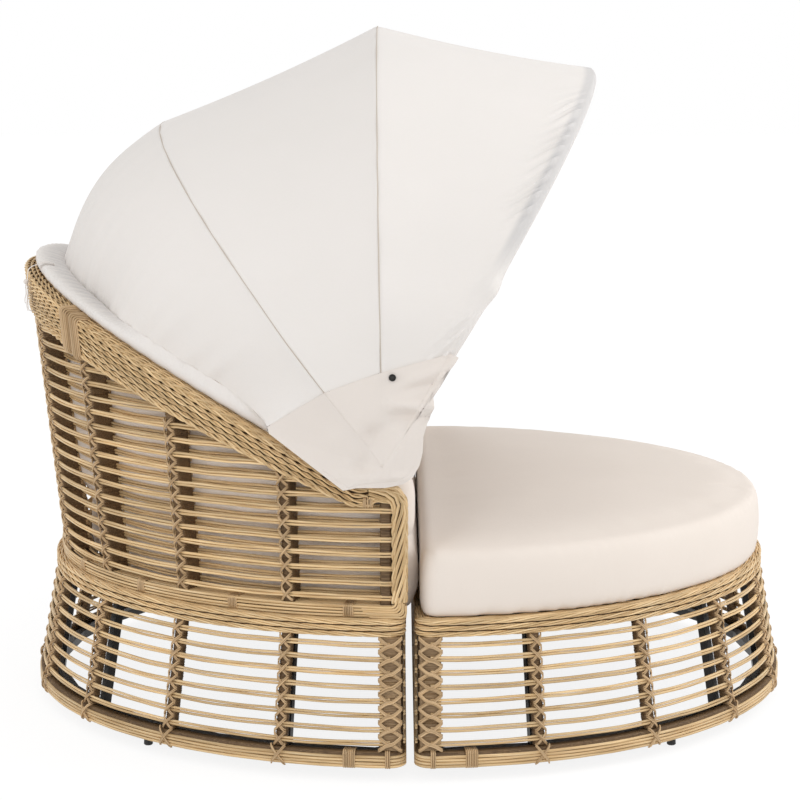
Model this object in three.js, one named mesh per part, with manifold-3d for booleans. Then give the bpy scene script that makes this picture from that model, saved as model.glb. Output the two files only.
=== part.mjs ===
// A two-piece oval outdoor daybed: a loveseat with a woven, double-walled back and a folding fabric
// canopy, and a matching ottoman. Millimetres, +Z up, +X towards the foot end, floor at z = 0.
// Both units are half ovals whose flat sides face each other across a narrow gap at x = 0.
import * as THREE from "three";
import { mergeVertices } from "three/addons/utils/BufferGeometryUtils.js";
import Module from "manifold-3d";

const wasm = await Module();
wasm.setup();

// Plan of both units
const baseBottomHalf = 874; // half length of the base wall's face, at the bottom rim
const baseTopHalf = 826; // the same at the top braid
const backBottomHalf = 812; // half length of the back wall's face, at its bottom rail
const backTopHalf = 872; // the same at the rear rim
const sideInset = 70; // the oval's half width is this much less than its half length
const unitGap = 14; // gap between the two units
const seat = 0.3; // gap left where two pieces touch
const weld = 1; // how far welded pieces run into each other

// Heights
const footHeight = 28;
const bottomRimHeight = 36;
const baseHeight = 330;
const braidHeight = 39;
const railHeight = 27;
const backHeight = 1000;
const armHeight = 609;
const cushionTop = 474;

// Woven walls
const bayCount = 10; // bays round each half oval
const baseRowCount = 8;
const backRowPitch = 31;
const strandHeight = 14; // a pair of round strands, seen as one rod
const strandDepth = 9;
const postWidth = 26;
const basePostDepth = 22;
const backPostDepth = 48;
const cornerPostWidth = 46;
const postProud = 2; // posts and their ties stand this far in front of the rods
const rodEndGap = 1; // rods end this far from a post that isn't theirs
const flatBayCount = 4; // bays of the flat wall across each unit
const flatRodInset = 20; // flat rods end this far inside the oval's sides

// Rims
const bottomRimDepth = 24;
const bottomRimProud = 6;
const braidDepth = 25;
const braidProud = 9;
const railProud = 6;
const rimProud = 9;
const rimDepth = 46;
const armRimHeight = 40;
const rearRimHeight = 90;
const armFlatLength = 115;
const armCornerRadius = 45;
const armCornerStep = THREE.MathUtils.degToRad(30);
const rimSeat = 0.7; // posts end this far under the rim
const rimCornerRadius = 30;
const rimSwell = 0.8; // exponent by which the rim's band grows towards the rear
const collarProud = 5;
const collarLength = 46;
const collarTurn = THREE.MathUtils.degToRad(56);

// Steel frame
const tube = 20;
const frameInset = 40; // frame tube's centre behind the wall's face
const frameCornerRadius = 60;
const beamWidth = 30;
const beamHeight = 22;
const beamProud = 2; // beams stand this far above the frame's ring
const firstBeam = 128; // from the unit's flat side to the first beam's middle
const lastBeam = 84; // from the frame ring's far end to the last beam's middle
const beamCount = 5;
const footRadius = 10;
const footEdge = 2;
const footTurn = THREE.MathUtils.degToRad(42.7);
const flatFootSide = 450;

// Cushions
const seatCushionGap = 14; // between the seat cushion's side and the back's rail
const ottomanCushionInset = 4; // the ottoman cushion's side behind the top braid's outer face
const seatCushionReach = 13; // the seat cushion bulges past the loveseat's flat side
const sideCushionReach = 12; // so do the ends of the side cushions
const ottomanCushionSetback = 13; // the ottoman's cushion starts behind its unit's flat side
const cushionCornerRadius = 45;
const cushionTuck = 24; // how far a cushion's edges are drawn in
const cushionCrown = 12;
const backCushionDepth = 125;
const backCushionArmHeight = 640;
const backCushionRearHeight = 860;
const backCushionLift = 2.5; // over the seat cushion's edge, because of its crown
const backCushionGap = 1.2;
const backCushionJoint = 4; // gap between neighbouring back cushions

// Canopy
const pivotX = -56;
const pivotZ = 660;
const bowRadius = 9.5;
const archFlare = 14.3; // from the outer end of the hubs to the arches' widest place
const bowSquareness = 2.3; // exponent of the arches' superellipse
const legReach = 220; // the bows' legs stay in their own planes as far as this
const archReach = 420; // from here on all bows share one half width
const hubRadius = 11;
const hubLength = 19.2;
const hubGap = 0.4;
const boltRadius = 4;
const boltPlay = 0.3;
const boltHeadRadius = 9;
const boltHeadTopRadius = 7.2;
const boltHeadHeight = 7;
const bracketThickness = 5;
const bracketInset = 40; // outer face of each bracket, inside the wall's face
const bracketFootWidth = 26;
const bracketFootThickness = 4;
const bracketFootBack = 52; // from the pivot to the foot's rear end
const bracketFootFront = 2;
const bracketHeadRadius = 15;
const boltNutRadius = 7.5;
const boltNutHeight = 7;
const legFlare = 18; // the legs move outwards by this much above the hubs
const legFlareEnd = 190;
const clothThickness = 3;
const clothLift = 10.4; // cloth's inner face above a bow's centre line
const clothSeam = 0.3; // half the gap between two panels at a seam
const hemRodRadius = 8;
const hemRodInset = 30;
const hemTurn = THREE.MathUtils.degToRad(20.6);
const frontHem = 14; // the cloth goes on past the front bow by this much
const bows = {
  rear: { angle: 127.8, reach: 820, seam: 190, place: 2 },
  middle: { angle: 91.1, reach: 863, seam: 188, place: 1 },
  front: { angle: 58.8, reach: 899, seam: 262, place: 0 },
};
const canopyStations = 22;
const panelRows = 3;
const panelSag = 8;
const rearPanelDome = 38; // how far the rear panel domes out below its bow, at the back
const domeShare = 0.8; // how far up from the hem it domes most
const bowWrap = 14; // the rear panel lies on its bow as far back as this
const hemClothGap = 1.2;
const hemRodClearance = 6.2; // from the rim's top up to the rod, which lies on the collars
const flapRows = 4;
const flapLow = { x: -133, out: 9, z: 620 }; // out is counted from the arches' half width
const flapFront = { x: 15, out: 2, z: 650 };
const flapRearDrop = 12;
const flapBulge = 14;
const flapFold = 8;
const flapFoldCount = 3;
const flapDraw = 20; // the front edge is drawn back by this much
const flapLowShare = 0.55; // where along the flap its lowest corner lies

// Looks of the materials
const wicker = { color: 0xc3a272, roughness: 0.6, metalness: 0 };
const darkWicker = { color: 0xa98755, roughness: 0.65, metalness: 0 };
const steel = { color: 0x1b1a19, roughness: 0.45, metalness: 0.6 };
const plastic = { color: 0x151515, roughness: 0.6, metalness: 0 };
const cushionFabric = { color: 0xe4d8cd, roughness: 0.9, metalness: 0 };
const canopyFabric = { color: 0xece8e4, roughness: 0.85, metalness: 0 };

// Counts of straight steps along round shapes
const arcSteps = 20; // round a unit's oval side
const frameArcSteps = 14;
const cornerSteps = 2;
const roundSides = 10; // round a turned piece
const tubeSides = 6;

// Sizes that follow from those above
const flatX = unitGap / 2;
const flatWallDepth = seat + postProud + strandDepth;
const bay = Math.PI / bayCount;
const bottomRimTop = footHeight + bottomRimHeight;
const braidBottom = baseHeight - braidHeight;
const railBottom = baseHeight + seat;
const railTop = railBottom + railHeight;
const baseRowPitch = (braidBottom - bottomRimTop) / baseRowCount;
const cushionBottom = baseHeight + seat;
const seatCushionHalf = backBottomHalf - rimDepth - seatCushionGap;
const rad = THREE.MathUtils.degToRad;
const smallTurn = 1e-3; // for slopes
const cushionSplitPast = rad(2); // the back cushions part this far behind the collar
const rodTurnStep = rad(0.25); // steps in which a rod's first turn under the rim is sought
const shortestRodTurn = rad(3);
const collarStepTurn = rad(0.4); // turn over which the rim steps up to the collar

// Solids

// A closed solid through rings of points that all have the same count. The end rings are convex.
function loft(rings, loop = false) {
  const count = rings[0].length;
  const index = [];
  const last = loop ? rings.length : rings.length - 1;
  for (let i = 0; i < last; i++) {
    const low = i * count;
    const high = ((i + 1) % rings.length) * count;
    for (let j = 0; j < count; j++) {
      const k = (j + 1) % count;
      index.push(low + j, low + k, high + k, low + j, high + k, high + j);
    }
  }
  if (!loop) {
    const end = (rings.length - 1) * count;
    for (let j = 1; j < count - 1; j++) {
      index.push(0, j + 1, j, end, end + j, end + j + 1);
    }
  }
  const points = rings.flat();
  return facingOut(points, index);
}

// A geometry from points and triangles, turned so that its faces point outwards.
function facingOut(points, index) {
  let volume = 0;
  for (let i = 0; i < index.length; i += 3) {
    const [a, b, c] = [points[index[i]], points[index[i + 1]], points[index[i + 2]]];
    volume += a.dot(b.clone().cross(c));
  }
  if (volume < 0) {
    for (let i = 0; i < index.length; i += 3) {
      [index[i + 1], index[i + 2]] = [index[i + 2], index[i + 1]];
    }
  }
  return new THREE.BufferGeometry().setFromPoints(points).setIndex(index);
}

function toSolid(geometry) {
  const plain = new THREE.BufferGeometry();
  plain.setAttribute("position", geometry.getAttribute("position"));
  plain.setIndex(geometry.getIndex());
  const merged = mergeVertices(plain, 1e-4);
  return new wasm.Manifold(
    new wasm.Mesh({
      numProp: 3,
      vertProperties: merged.attributes.position.array,
      triVerts: new Uint32Array(merged.index.array),
    }),
  );
}

function toGeometry(solid) {
  const mesh = solid.getMesh();
  const geometry = new THREE.BufferGeometry();
  geometry.setAttribute("position", new THREE.BufferAttribute(mesh.vertProperties, 3));
  return geometry.setIndex(new THREE.BufferAttribute(mesh.triVerts, 1));
}

const joined = (parts) => toGeometry(parts.map(toSolid).reduce((all, one) => all.add(one)));

const group = new THREE.Group();
group.name = "daybed";

function piece(name, geometry, look, mirror = [1, 1]) {
  geometry.computeVertexNormals();
  const mesh = new THREE.Mesh(geometry, new THREE.MeshStandardMaterial(look));
  mesh.name = name;
  mesh.scale.set(mirror[0], mirror[1], 1);
  group.add(mesh);
}

// Walls. A wall's face is an oval that widens or narrows evenly with height. A turn of 0 is the
// right end at the gap, 90 degrees the far middle. Out is the distance proud of the face.
const baseWall = {
  low: bottomRimTop - bottomRimHeight / 2,
  high: baseHeight - braidHeight / 2,
  lowHalf: baseBottomHalf,
  highHalf: baseTopHalf,
};
const backWall = {
  low: railBottom,
  high: backHeight - rearRimHeight,
  lowHalf: backBottomHalf,
  highHalf: backTopHalf,
};

function halfLength(wall, z) {
  const share = (z - wall.low) / (wall.high - wall.low);
  return wall.lowHalf + (wall.highHalf - wall.lowHalf) * share;
}

function onWall(wall, turn, z, out = 0) {
  const half = halfLength(wall, z) + out;
  return new THREE.Vector3(-half * Math.sin(turn), (sideInset - half) * Math.cos(turn), z);
}

// The same at a given distance x from the gap plane, for the part of the wall near the gap.
function onWallAt(wall, x, z, out = 0) {
  const half = halfLength(wall, z) + out;
  return onWall(wall, Math.asin(Math.min(1, x / half)), z, out);
}

// The horizontal unit vector that points out of a wall.
const outwardAt = (turn) => new THREE.Vector3(-Math.sin(turn), -Math.cos(turn), 0);

// The turn that covers a length along the wall's face.
function turnOf(wall, turn, z, length) {
  const half = halfLength(wall, z);
  return length / Math.hypot(half * Math.cos(turn), (half - sideInset) * Math.sin(turn));
}

// A ridged rod that runs round a wall at one height in straight stretches with mitred joints and
// ends that lie in line with the posts' sides. Its ridge lies at one distance out and its back at
// another.
function rod(wall, turns, z, ridge, back) {
  const centres = turns.map((turn) => onWall(wall, turn, z));
  const outwards = centres.slice(1).map((point, i) => {
    const along = point.clone().sub(centres[i]).normalize();
    return new THREE.Vector3(-along.y, along.x, 0);
  });
  const half = strandHeight / 2;
  return loft(
    centres.map((centre, i) => {
      const inside = i > 0 && i < outwards.length;
      const outward = outwards[Math.min(i, outwards.length - 1)];
      const mitre = inside
        ? outward.clone().add(outwards[i - 1])
        : outwardAt(turns[i]);
      mitre.divideScalar(mitre.dot(outward));
      const at = (out, up) => centre.clone().addScaledVector(mitre, out).setZ(z + up);
      return [at(back, -half), at(ridge, 0), at(back, half)];
    }),
  );
}

// A straight post on a wall, from one height function of the turn to another.
function post(wall, turn, width, outer, inner, bottom, top) {
  const half = turnOf(wall, turn, bottom(turn), width / 2);
  const corners = [
    [turn - half, outer],
    [turn + half, outer],
    [turn + half, inner],
    [turn - half, inner],
  ];
  return loft(
    [bottom, top].map((height) => corners.map(([t, out]) => onWall(wall, t, height(t), out))),
  );
}

// Turns from one end to the other in even steps of about the given size.
function evenTurns(from, to, step) {
  const count = Math.max(1, Math.round((to - from) / step));
  return Array.from({ length: count + 1 }, (_, i) => from + ((to - from) * i) / count);
}

// The five panels of a curved wall, from the right end to the left: which bays each one spans and
// which posts it owns. A panel's rods butt against the neighbour's post where it owns none.
const panelBays = [
  { name: "right_front", from: 0, to: 2, posts: [0, 1, 2] },
  { name: "right_rear", from: 2, to: 4, posts: [3, 4] },
  { name: "rear", from: 4, to: 6, posts: [5] },
];
const mirrored = { right_front: "left_front", right_rear: "left_rear" };

const isCorner = (k) => k === 0;

// Where a panel's rods start and end at a given height. The corner post's middle lies at cornerX
// from the gap plane, and the other posts' width is set at the height postFoot.
function rodSpan(wall, panel, z, cornerX, postFoot) {
  const clear = (k) =>
    panel.posts.includes(k)
      ? 0
      : turnOf(wall, k * bay, postFoot, postWidth / 2) + turnOf(wall, k * bay, z, rodEndGap);
  const from = isCorner(panel.from)
    ? Math.asin(cornerX / halfLength(wall, z))
    : panel.from * bay + clear(panel.from);
  return [from, panel.to * bay - clear(panel.to)];
}

// A post at a unit's corner, between two distances from the gap plane.
function cornerPost(wall, near, far, outer, inner, bottom, top) {
  const corners = [
    [near, outer],
    [far, outer],
    [far, inner],
    [near, inner],
  ];
  return loft([bottom, top].map((z) => corners.map(([x, out]) => onWallAt(wall, x, z, out))));
}

function basePanel(panel) {
  const bottom = bottomRimTop + seat;
  const top = braidBottom - seat;
  const inner = postProud - basePostDepth;
  const near = flatX + flatWallDepth + seat;
  const far = near + cornerPostWidth;
  const parts = panel.posts.map((k) =>
    isCorner(k)
      ? cornerPost(baseWall, near, far, postProud, inner, bottom, top)
      : post(baseWall, k * bay, postWidth, postProud, inner, () => bottom, () => top),
  );
  for (let i = 0; i < baseRowCount; i++) {
    const z = bottomRimTop + (i + 0.5) * baseRowPitch;
    const [from, to] = rodSpan(baseWall, panel, z, (near + far) / 2, bottom);
    parts.push(rod(baseWall, evenTurns(from, to, bay / 2), z, 0, -strandDepth));
  }
  return joined(parts);
}

// The flat wall across a unit, between its two corner posts. Its rods' ridges lie in one plane.
function flatPanel() {
  const bottom = bottomRimTop + seat;
  const top = braidBottom - seat;
  const face = -flatX - seat;
  const half = strandHeight / 2;
  const sideAt = (z) => halfLength(baseWall, z) - sideInset - flatRodInset;
  const slat = (y, width, z) => [
    new THREE.Vector3(face, y - width / 2, z),
    new THREE.Vector3(face, y + width / 2, z),
    new THREE.Vector3(face - basePostDepth, y + width / 2, z),
    new THREE.Vector3(face - basePostDepth, y - width / 2, z),
  ];
  const section = (y, z) => [
    new THREE.Vector3(-flatX - flatWallDepth, y, z - half),
    new THREE.Vector3(face - postProud, y, z),
    new THREE.Vector3(-flatX - flatWallDepth, y, z + half),
  ];
  const parts = [];
  for (let k = 1; k < flatBayCount; k++) {
    const share = (2 * k) / flatBayCount - 1;
    parts.push(loft([bottom, top].map((z) => slat(share * sideAt(z), postWidth, z))));
  }
  for (let i = 0; i < baseRowCount; i++) {
    const z = bottomRimTop + (i + 0.5) * baseRowPitch;
    const side = sideAt(z + half);
    parts.push(loft([section(-side, z), section(side, z)]));
  }
  return joined(parts);
}

// D-shaped outlines, used by rims, frame rings and cushions

// A point list round the D: the oval side, a rounded corner, the flat side and the other corner.
function dOutline(half, flat, radius, steps = arcSteps) {
  const wide = half - sideInset;
  const start = Math.asin((flat + radius) / half);
  const side = wide * Math.cos(start);
  const points = [];
  for (let i = 0; i <= steps; i++) {
    const t = start + ((Math.PI - 2 * start) * i) / steps;
    points.push([-half * Math.sin(t), -wide * Math.cos(t)]);
  }
  const corner = (i, sign) => {
    const turn = (Math.PI / 2) * (i / cornerSteps);
    const x = -flat - radius + radius * Math.sin(turn);
    points.push([x, sign * (side - radius + radius * Math.cos(turn))]);
  };
  for (let i = 1; i <= cornerSteps; i++) {
    corner(i, 1);
  }
  for (let i = cornerSteps; i >= 1; i--) {
    corner(i, -1);
  }
  return points;
}

// A closed ring whose section is given as pairs of distance outwards and height.
function dRing(half, flat, radius, section, steps = arcSteps) {
  const columns = section.map(([out, z]) =>
    dOutline(half + out, flat - out, radius + out, steps).map(
      ([x, y]) => new THREE.Vector3(x, y, z),
    ),
  );
  return loft(
    columns[0].map((_, i) => columns.map((column) => column[i])),
    true,
  );
}

const sectionCutShare = 0.26;

// An upright rounded section from an inner to an outer distance and a low to a high height.
function roundedSection(inner, outer, low, high) {
  const cut = Math.min(outer - inner, high - low) * sectionCutShare;
  return [
    [inner + cut, low],
    [outer - cut, low],
    [outer, low + cut],
    [outer, high - cut],
    [outer - cut, high],
    [inner + cut, high],
    [inner, high - cut],
    [inner, low + cut],
  ];
}

// A section with a flat back and a rounded face.
function facedSection(inner, outer, low, high) {
  const cut = (high - low) * sectionCutShare;
  return [
    [inner, low],
    [outer - cut, low],
    [outer, low + cut],
    [outer, high - cut],
    [outer - cut, high],
    [inner, high],
  ];
}

// The rims stand proud of the wall's face, on the flat side too.
function baseRim(low, high, depth, proud) {
  const middle = halfLength(baseWall, (low + high) / 2);
  const section = facedSection(-depth, proud, low, high);
  return dRing(middle, flatX + proud, rimCornerRadius, section);
}

// Frame: two square-tube rings, uprights behind the posts and beams under the cushion.
const frameFlat = flatX + bottomRimProud;

function frameRing(z) {
  const section = [
    [-frameInset - tube / 2, z - tube / 2],
    [-frameInset + tube / 2, z - tube / 2],
    [-frameInset + tube / 2, z + tube / 2],
    [-frameInset - tube / 2, z + tube / 2],
  ];
  const half = halfLength(baseWall, z);
  return dRing(half, frameFlat, frameCornerRadius, section, frameArcSteps);
}

function frame() {
  const lowZ = bottomRimTop - bottomRimHeight / 2;
  const beamTop = cushionBottom - seat;
  const highZ = beamTop - tube / 2 - beamProud;
  const ringHalf = halfLength(baseWall, highZ) - frameInset;
  const beamPitch = (ringHalf - lastBeam - flatX - firstBeam) / (beamCount - 1);
  const parts = [frameRing(lowZ), frameRing(highZ)];
  for (let k = 1; k < bayCount; k += 2) {
    parts.push(
      post(
        baseWall,
        k * bay,
        tube,
        -frameInset + tube / 2 - weld,
        -frameInset - tube / 2 + weld,
        () => lowZ,
        () => highZ,
      ),
    );
  }
  for (let i = 0; i < beamCount; i++) {
    const x = -flatX - firstBeam - beamPitch * i;
    const side = (ringHalf - sideInset) * Math.sqrt(1 - ((x - beamWidth / 2) / ringHalf) ** 2);
    const beam = new THREE.BoxGeometry(beamWidth, 2 * side, beamHeight);
    parts.push(beam.translate(x, 0, beamTop - beamHeight / 2));
  }
  return joined(parts);
}

// A turned glide under the frame's bottom ring.
function foot(x, y) {
  const top = bottomRimTop - bottomRimHeight / 2 - tube / 2 - seat;
  const profile = [
    [0, 0],
    [footRadius - footEdge, 0],
    [footRadius, footEdge],
    [footRadius - footEdge, top],
    [0, top],
  ].map(([r, z]) => new THREE.Vector2(r, z));
  return new THREE.LatheGeometry(profile, roundSides).rotateX(Math.PI / 2).translate(x, y, 0);
}

function footPlaces() {
  const ring = halfLength(baseWall, bottomRimTop - bottomRimHeight / 2) - frameInset;
  const x = -ring * Math.sin(footTurn);
  const y = (ring - sideInset) * Math.cos(footTurn);
  const flat = -frameFlat - frameInset;
  return {
    outer_right: [x, -y],
    outer_left: [x, y],
    inner_right: [flat, -flatFootSide],
    inner_left: [flat, flatFootSide],
  };
}

// Backrest

// Share of the way from the arm's flat top to the rear of the rim, seen from the side.
const slopeTurn = Math.asin(armFlatLength / halfLength(backWall, armHeight));
function backShare(turn) {
  const start = Math.sin(slopeTurn);
  return Math.max(0, (Math.sin(turn) - start) / (1 - start));
}
const rimTop = (turn) => armHeight + (backHeight - armHeight) * backShare(turn);
const rimBand = (turn) => armRimHeight + (rearRimHeight - armRimHeight) * backShare(turn) ** rimSwell;
const rimLow = (turn) => rimTop(turn) - rimBand(turn);

// The first turn between two at which the rim is higher than a given height, or the second one.
function firstTurnUnderRim(from, to, high) {
  let turn = from;
  while (turn < to && rimLow(turn) < high) {
    turn += rodTurnStep;
  }
  return Math.min(turn, to);
}

// A panel of the back: the outer and the inner rods on posts as deep as the wall. The outer rods
// bend round with the wall, and the inner ones run straight from post to post.
function backPanel(panel) {
  const inner = postProud - backPostDepth;
  const bottom = railTop + seat;
  const top = (turn) => rimLow(turn) - rimSeat;
  const near = flatX + armRimHeight + rimSeat;
  const far = near + postWidth;
  const parts = panel.posts.map((k) =>
    isCorner(k)
      ? cornerPost(backWall, near, far, postProud, inner, bottom, armHeight - armCornerRadius)
      : post(backWall, k * bay, postWidth, postProud, inner, () => bottom, top),
  );
  for (let z = railTop + backRowPitch / 2; z < backHeight - rearRimHeight; z += backRowPitch) {
    const high = z + strandHeight / 2 + collarProud + rimSeat;
    const [first, to] = rodSpan(backWall, panel, z, (near + far) / 2, bottom);
    const from = firstTurnUnderRim(first, to, high);
    const shortest = panel.name === "rear" ? to - first : shortestRodTurn;
    if (to - from >= shortest) {
      const innerRidge = inner + postProud + halfLength(backWall, z) * (1 - Math.cos(bay / 2));
      parts.push(rod(backWall, evenTurns(from, to, bay / 2), z, 0, -strandDepth));
      parts.push(rod(backWall, evenTurns(from, to, bay), z, innerRidge, innerRidge + strandDepth));
    }
  }
  return joined(parts);
}

function rimRing(turn, proud = 0) {
  const low = rimLow(turn) - proud;
  const high = rimTop(turn) + proud;
  return roundedSection(-rimDepth - proud, rimProud + proud, low, high).map(([out, z]) =>
    onWall(backWall, turn, z, out),
  );
}

// The rear of the rim, between the two collars.
function rearRim() {
  const from = collarTurn + turnOf(backWall, collarTurn, backHeight, collarLength + seat);
  return loft(evenTurns(from, Math.PI - from, bay / 4).map((turn) => rimRing(turn)));
}

// One side of the rim: a collar at the rear, the sloping top, the rounded arm corner and the edge
// that runs down the arm's front to the bottom rail.
function sideRim() {
  const collarEnd = collarTurn + turnOf(backWall, collarTurn, backHeight, collarLength);
  const cornerCentreX = flatX + armCornerRadius;
  const cornerCentreZ = armHeight - armCornerRadius;
  const start = Math.asin((cornerCentreX + weld) / halfLength(backWall, armHeight));
  const rings = [rimRing(collarEnd, collarProud), rimRing(collarTurn, collarProud)];
  const slope = evenTurns(slopeTurn, collarTurn - collarStepTurn, bay / 4).reverse();
  rings.push(...[...slope, start].map((turn) => rimRing(turn)));
  const innerRadius = armCornerRadius - armRimHeight;
  const corner = (angle) => ({
    low: [cornerCentreX - innerRadius * Math.cos(angle), cornerCentreZ + innerRadius * Math.sin(angle)],
    high: [
      cornerCentreX - armCornerRadius * Math.cos(angle),
      cornerCentreZ + armCornerRadius * Math.sin(angle),
    ],
  });
  const edges = evenTurns(0, 2 * armCornerStep, armCornerStep).reverse().map(corner);
  const down = railTop + seat;
  edges.push({ low: [flatX + armRimHeight, down], high: [flatX, down] });
  rings.push(...edges.map(({ low, high }) => edgeRing(low, high)));
  return loft(rings);
}

// A ring of the arm's edge between two points given by distance from the gap plane and height.
function edgeRing(low, high) {
  return roundedSection(-rimDepth, rimProud, 0, armRimHeight).map(([out, along]) => {
    const share = along / armRimHeight;
    const x = low[0] + (high[0] - low[0]) * share;
    const z = low[1] + (high[1] - low[1]) * share;
    return onWallAt(backWall, x, z, out);
  });
}

function backRail() {
  const start = Math.asin(flatX / halfLength(backWall, railBottom));
  const section = roundedSection(-rimDepth, railProud, railBottom, railTop);
  return loft(
    evenTurns(start, Math.PI - start, bay / 2).map((turn) =>
      section.map(([out, z]) => onWall(backWall, turn, z, out)),
    ),
  );
}

// Cushions

// A D-shaped box cushion: its sides bulge between a tucked bottom and top edge, and its top has
// a low crown.
const cushionProfileShares = [
  [0, 1],
  [0.06, 0.36],
  [0.24, 0.05],
  [0.5, 0],
  [0.76, 0.05],
  [0.94, 0.36],
  [1, 1],
];
const cushionCrownShares = [
  [0.3, 0.4],
  [0.62, 1],
];

// The ottoman's cushion covers the top of its base almost out to the braid's face.
const ottomanCushionHalf =
  halfLength(baseWall, baseHeight) + braidProud - ottomanCushionInset;

function dCushion(half, flat, bottom, top) {
  const outline = (inset) =>
    dOutline(half - inset, flat + inset, cushionCornerRadius);
  const rings = cushionProfileShares.map(([share, tuck]) =>
    outline(tuck * cushionTuck).map(
      ([x, y]) => new THREE.Vector3(x, y, bottom + (top - bottom) * share),
    ),
  );
  const edge = outline(cushionTuck);
  const middleX = -half / 2;
  for (const [inwards, crown] of cushionCrownShares) {
    rings.push(
      edge.map(
        ([x, y]) =>
          new THREE.Vector3(
            x + (middleX - x) * inwards,
            y * (1 - inwards),
            top + cushionCrown * crown,
          ),
      ),
    );
  }
  return loft(rings);
}

// A back cushion stands on the seat cushion and leans on the wall. Its section is plump, and its
// ends are drawn in.
function backCushion(from, to) {
  const tall = (turn) =>
    backCushionArmHeight + (backCushionRearHeight - backCushionArmHeight) * backShare(turn);
  const bottom = cushionTop + backCushionLift;
  const face = postProud - backPostDepth - backCushionGap;
  const ends = evenTurns(from, to, bay / 2);
  const rings = ends.map((turn, i) => {
    const atEnd = i === 0 || i === ends.length - 1;
    const pull = atEnd ? cushionTuck : 0;
    const inner = face - backCushionDepth + pull;
    const section = roundedSection(inner, face - pull, bottom, tall(turn) - pull);
    return section.map(([out, z]) => onWall(backWall, turn, z, out));
  });
  return loft(rings);
}

// Canopy bows. A bow is a flat arch that hinges on the pivot line. Its angle is measured from +X.

const bracketSide = halfLength(backWall, armHeight) - sideInset - bracketInset;
const hubStackEnd = bracketSide + 3 * (hubLength + hubGap);
const bowHalfWidth = hubStackEnd + archFlare;
const hubSide = (bow) => bracketSide + hubGap + hubLength / 2 + bow.place * (hubLength + hubGap);

// Reach from the pivot line and signed side of a point on a bow's centre line. A turn of 0 is the
// right hub and a half turn the left one.
function bowCentre(bow, turn) {
  const power = 2 / bowSquareness;
  const reach = bow.reach * Math.sin(turn) ** power;
  const wide = bowHalfWidth * Math.abs(Math.cos(turn)) ** power;
  const leg = hubSide(bow) + legFlare * THREE.MathUtils.smoothstep(reach, hubRadius, legFlareEnd);
  const arch = THREE.MathUtils.smoothstep(reach, legReach, archReach);
  return [reach, -Math.sign(Math.cos(turn)) * (leg + (wide - leg) * arch)];
}

const turnAtReach = (bow, reach) => Math.asin((reach / bow.reach) ** (bowSquareness / 2));

// The unit vector that points out of the arch, in its plane.
function bowOutward(bow, turn) {
  const [r0, y0] = bowCentre(bow, turn - smallTurn);
  const [r1, y1] = bowCentre(bow, turn + smallTurn);
  const long = Math.hypot(r1 - r0, y1 - y0);
  return [(y1 - y0) / long, -(r1 - r0) / long];
}

// A point given in the bow's plane by reach and side, and by its distance forwards of the plane.
function inBowPlane(bow, reach, side, forward = 0) {
  const angle = rad(bow.angle);
  return new THREE.Vector3(
    pivotX + reach * Math.cos(angle) + forward * Math.sin(angle),
    side,
    pivotZ + reach * Math.sin(angle) - forward * Math.cos(angle),
  );
}

// The turns at which both bows and cloth have their stations, between the seam's two ends.
function stationTurns(bow) {
  const start = turnAtReach(bow, bow.seam);
  return evenTurns(start, Math.PI - start, (Math.PI - 2 * start) / canopyStations);
}

function bowTube(bow) {
  const legs = [hubRadius / 2, (hubRadius + bow.seam) / 2].map((reach) => turnAtReach(bow, reach));
  const turns = [...legs, ...stationTurns(bow), ...legs.map((turn) => Math.PI - turn).reverse()];
  const rings = turns.map((turn) => {
    const [reach, side] = bowCentre(bow, turn);
    const [outReach, outSide] = bowOutward(bow, turn);
    return Array.from({ length: tubeSides }, (_, i) => {
      const angle = ((i + 0.5) * 2 * Math.PI) / tubeSides;
      const out = bowRadius * Math.cos(angle);
      const forward = bowRadius * Math.sin(angle);
      return inBowPlane(bow, reach + outReach * out, side + outSide * out, forward);
    });
  });
  return loft(rings);
}

function bowHub(bow, sign) {
  const bore = boltRadius + boltPlay;
  const half = hubLength / 2;
  const profile = [
    [bore, -half],
    [hubRadius, -half],
    [hubRadius, half],
    [bore, half],
    [bore, -half],
  ].map(([r, z]) => new THREE.Vector2(r, z));
  const ring = new THREE.LatheGeometry(profile, roundSides);
  return ring.translate(pivotX, sign * hubSide(bow), pivotZ);
}

// The arch of one bow with the bush that is welded on each end.
const bowPiece = (bow) => joined([bowTube(bow), bowHub(bow, 1), bowHub(bow, -1)]);

// Bolt that carries the three hubs of one side, with its nut inside the bracket.
function pivotBolt() {
  const stackEnd = hubStackEnd + hubGap;
  const nutFace = bracketSide - bracketThickness - seat;
  const profile = [
    [0, nutFace - boltNutHeight],
    [boltNutRadius, nutFace - boltNutHeight],
    [boltNutRadius, nutFace],
    [boltRadius, nutFace],
    [boltRadius, stackEnd],
    [boltHeadRadius, stackEnd],
    [boltHeadTopRadius, stackEnd + boltHeadHeight],
    [0, stackEnd + boltHeadHeight],
  ].map(([r, side]) => new THREE.Vector2(r, -side));
  const bolt = new THREE.LatheGeometry(profile.reverse(), roundSides);
  return bolt.translate(pivotX, 0, pivotZ);
}

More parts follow.
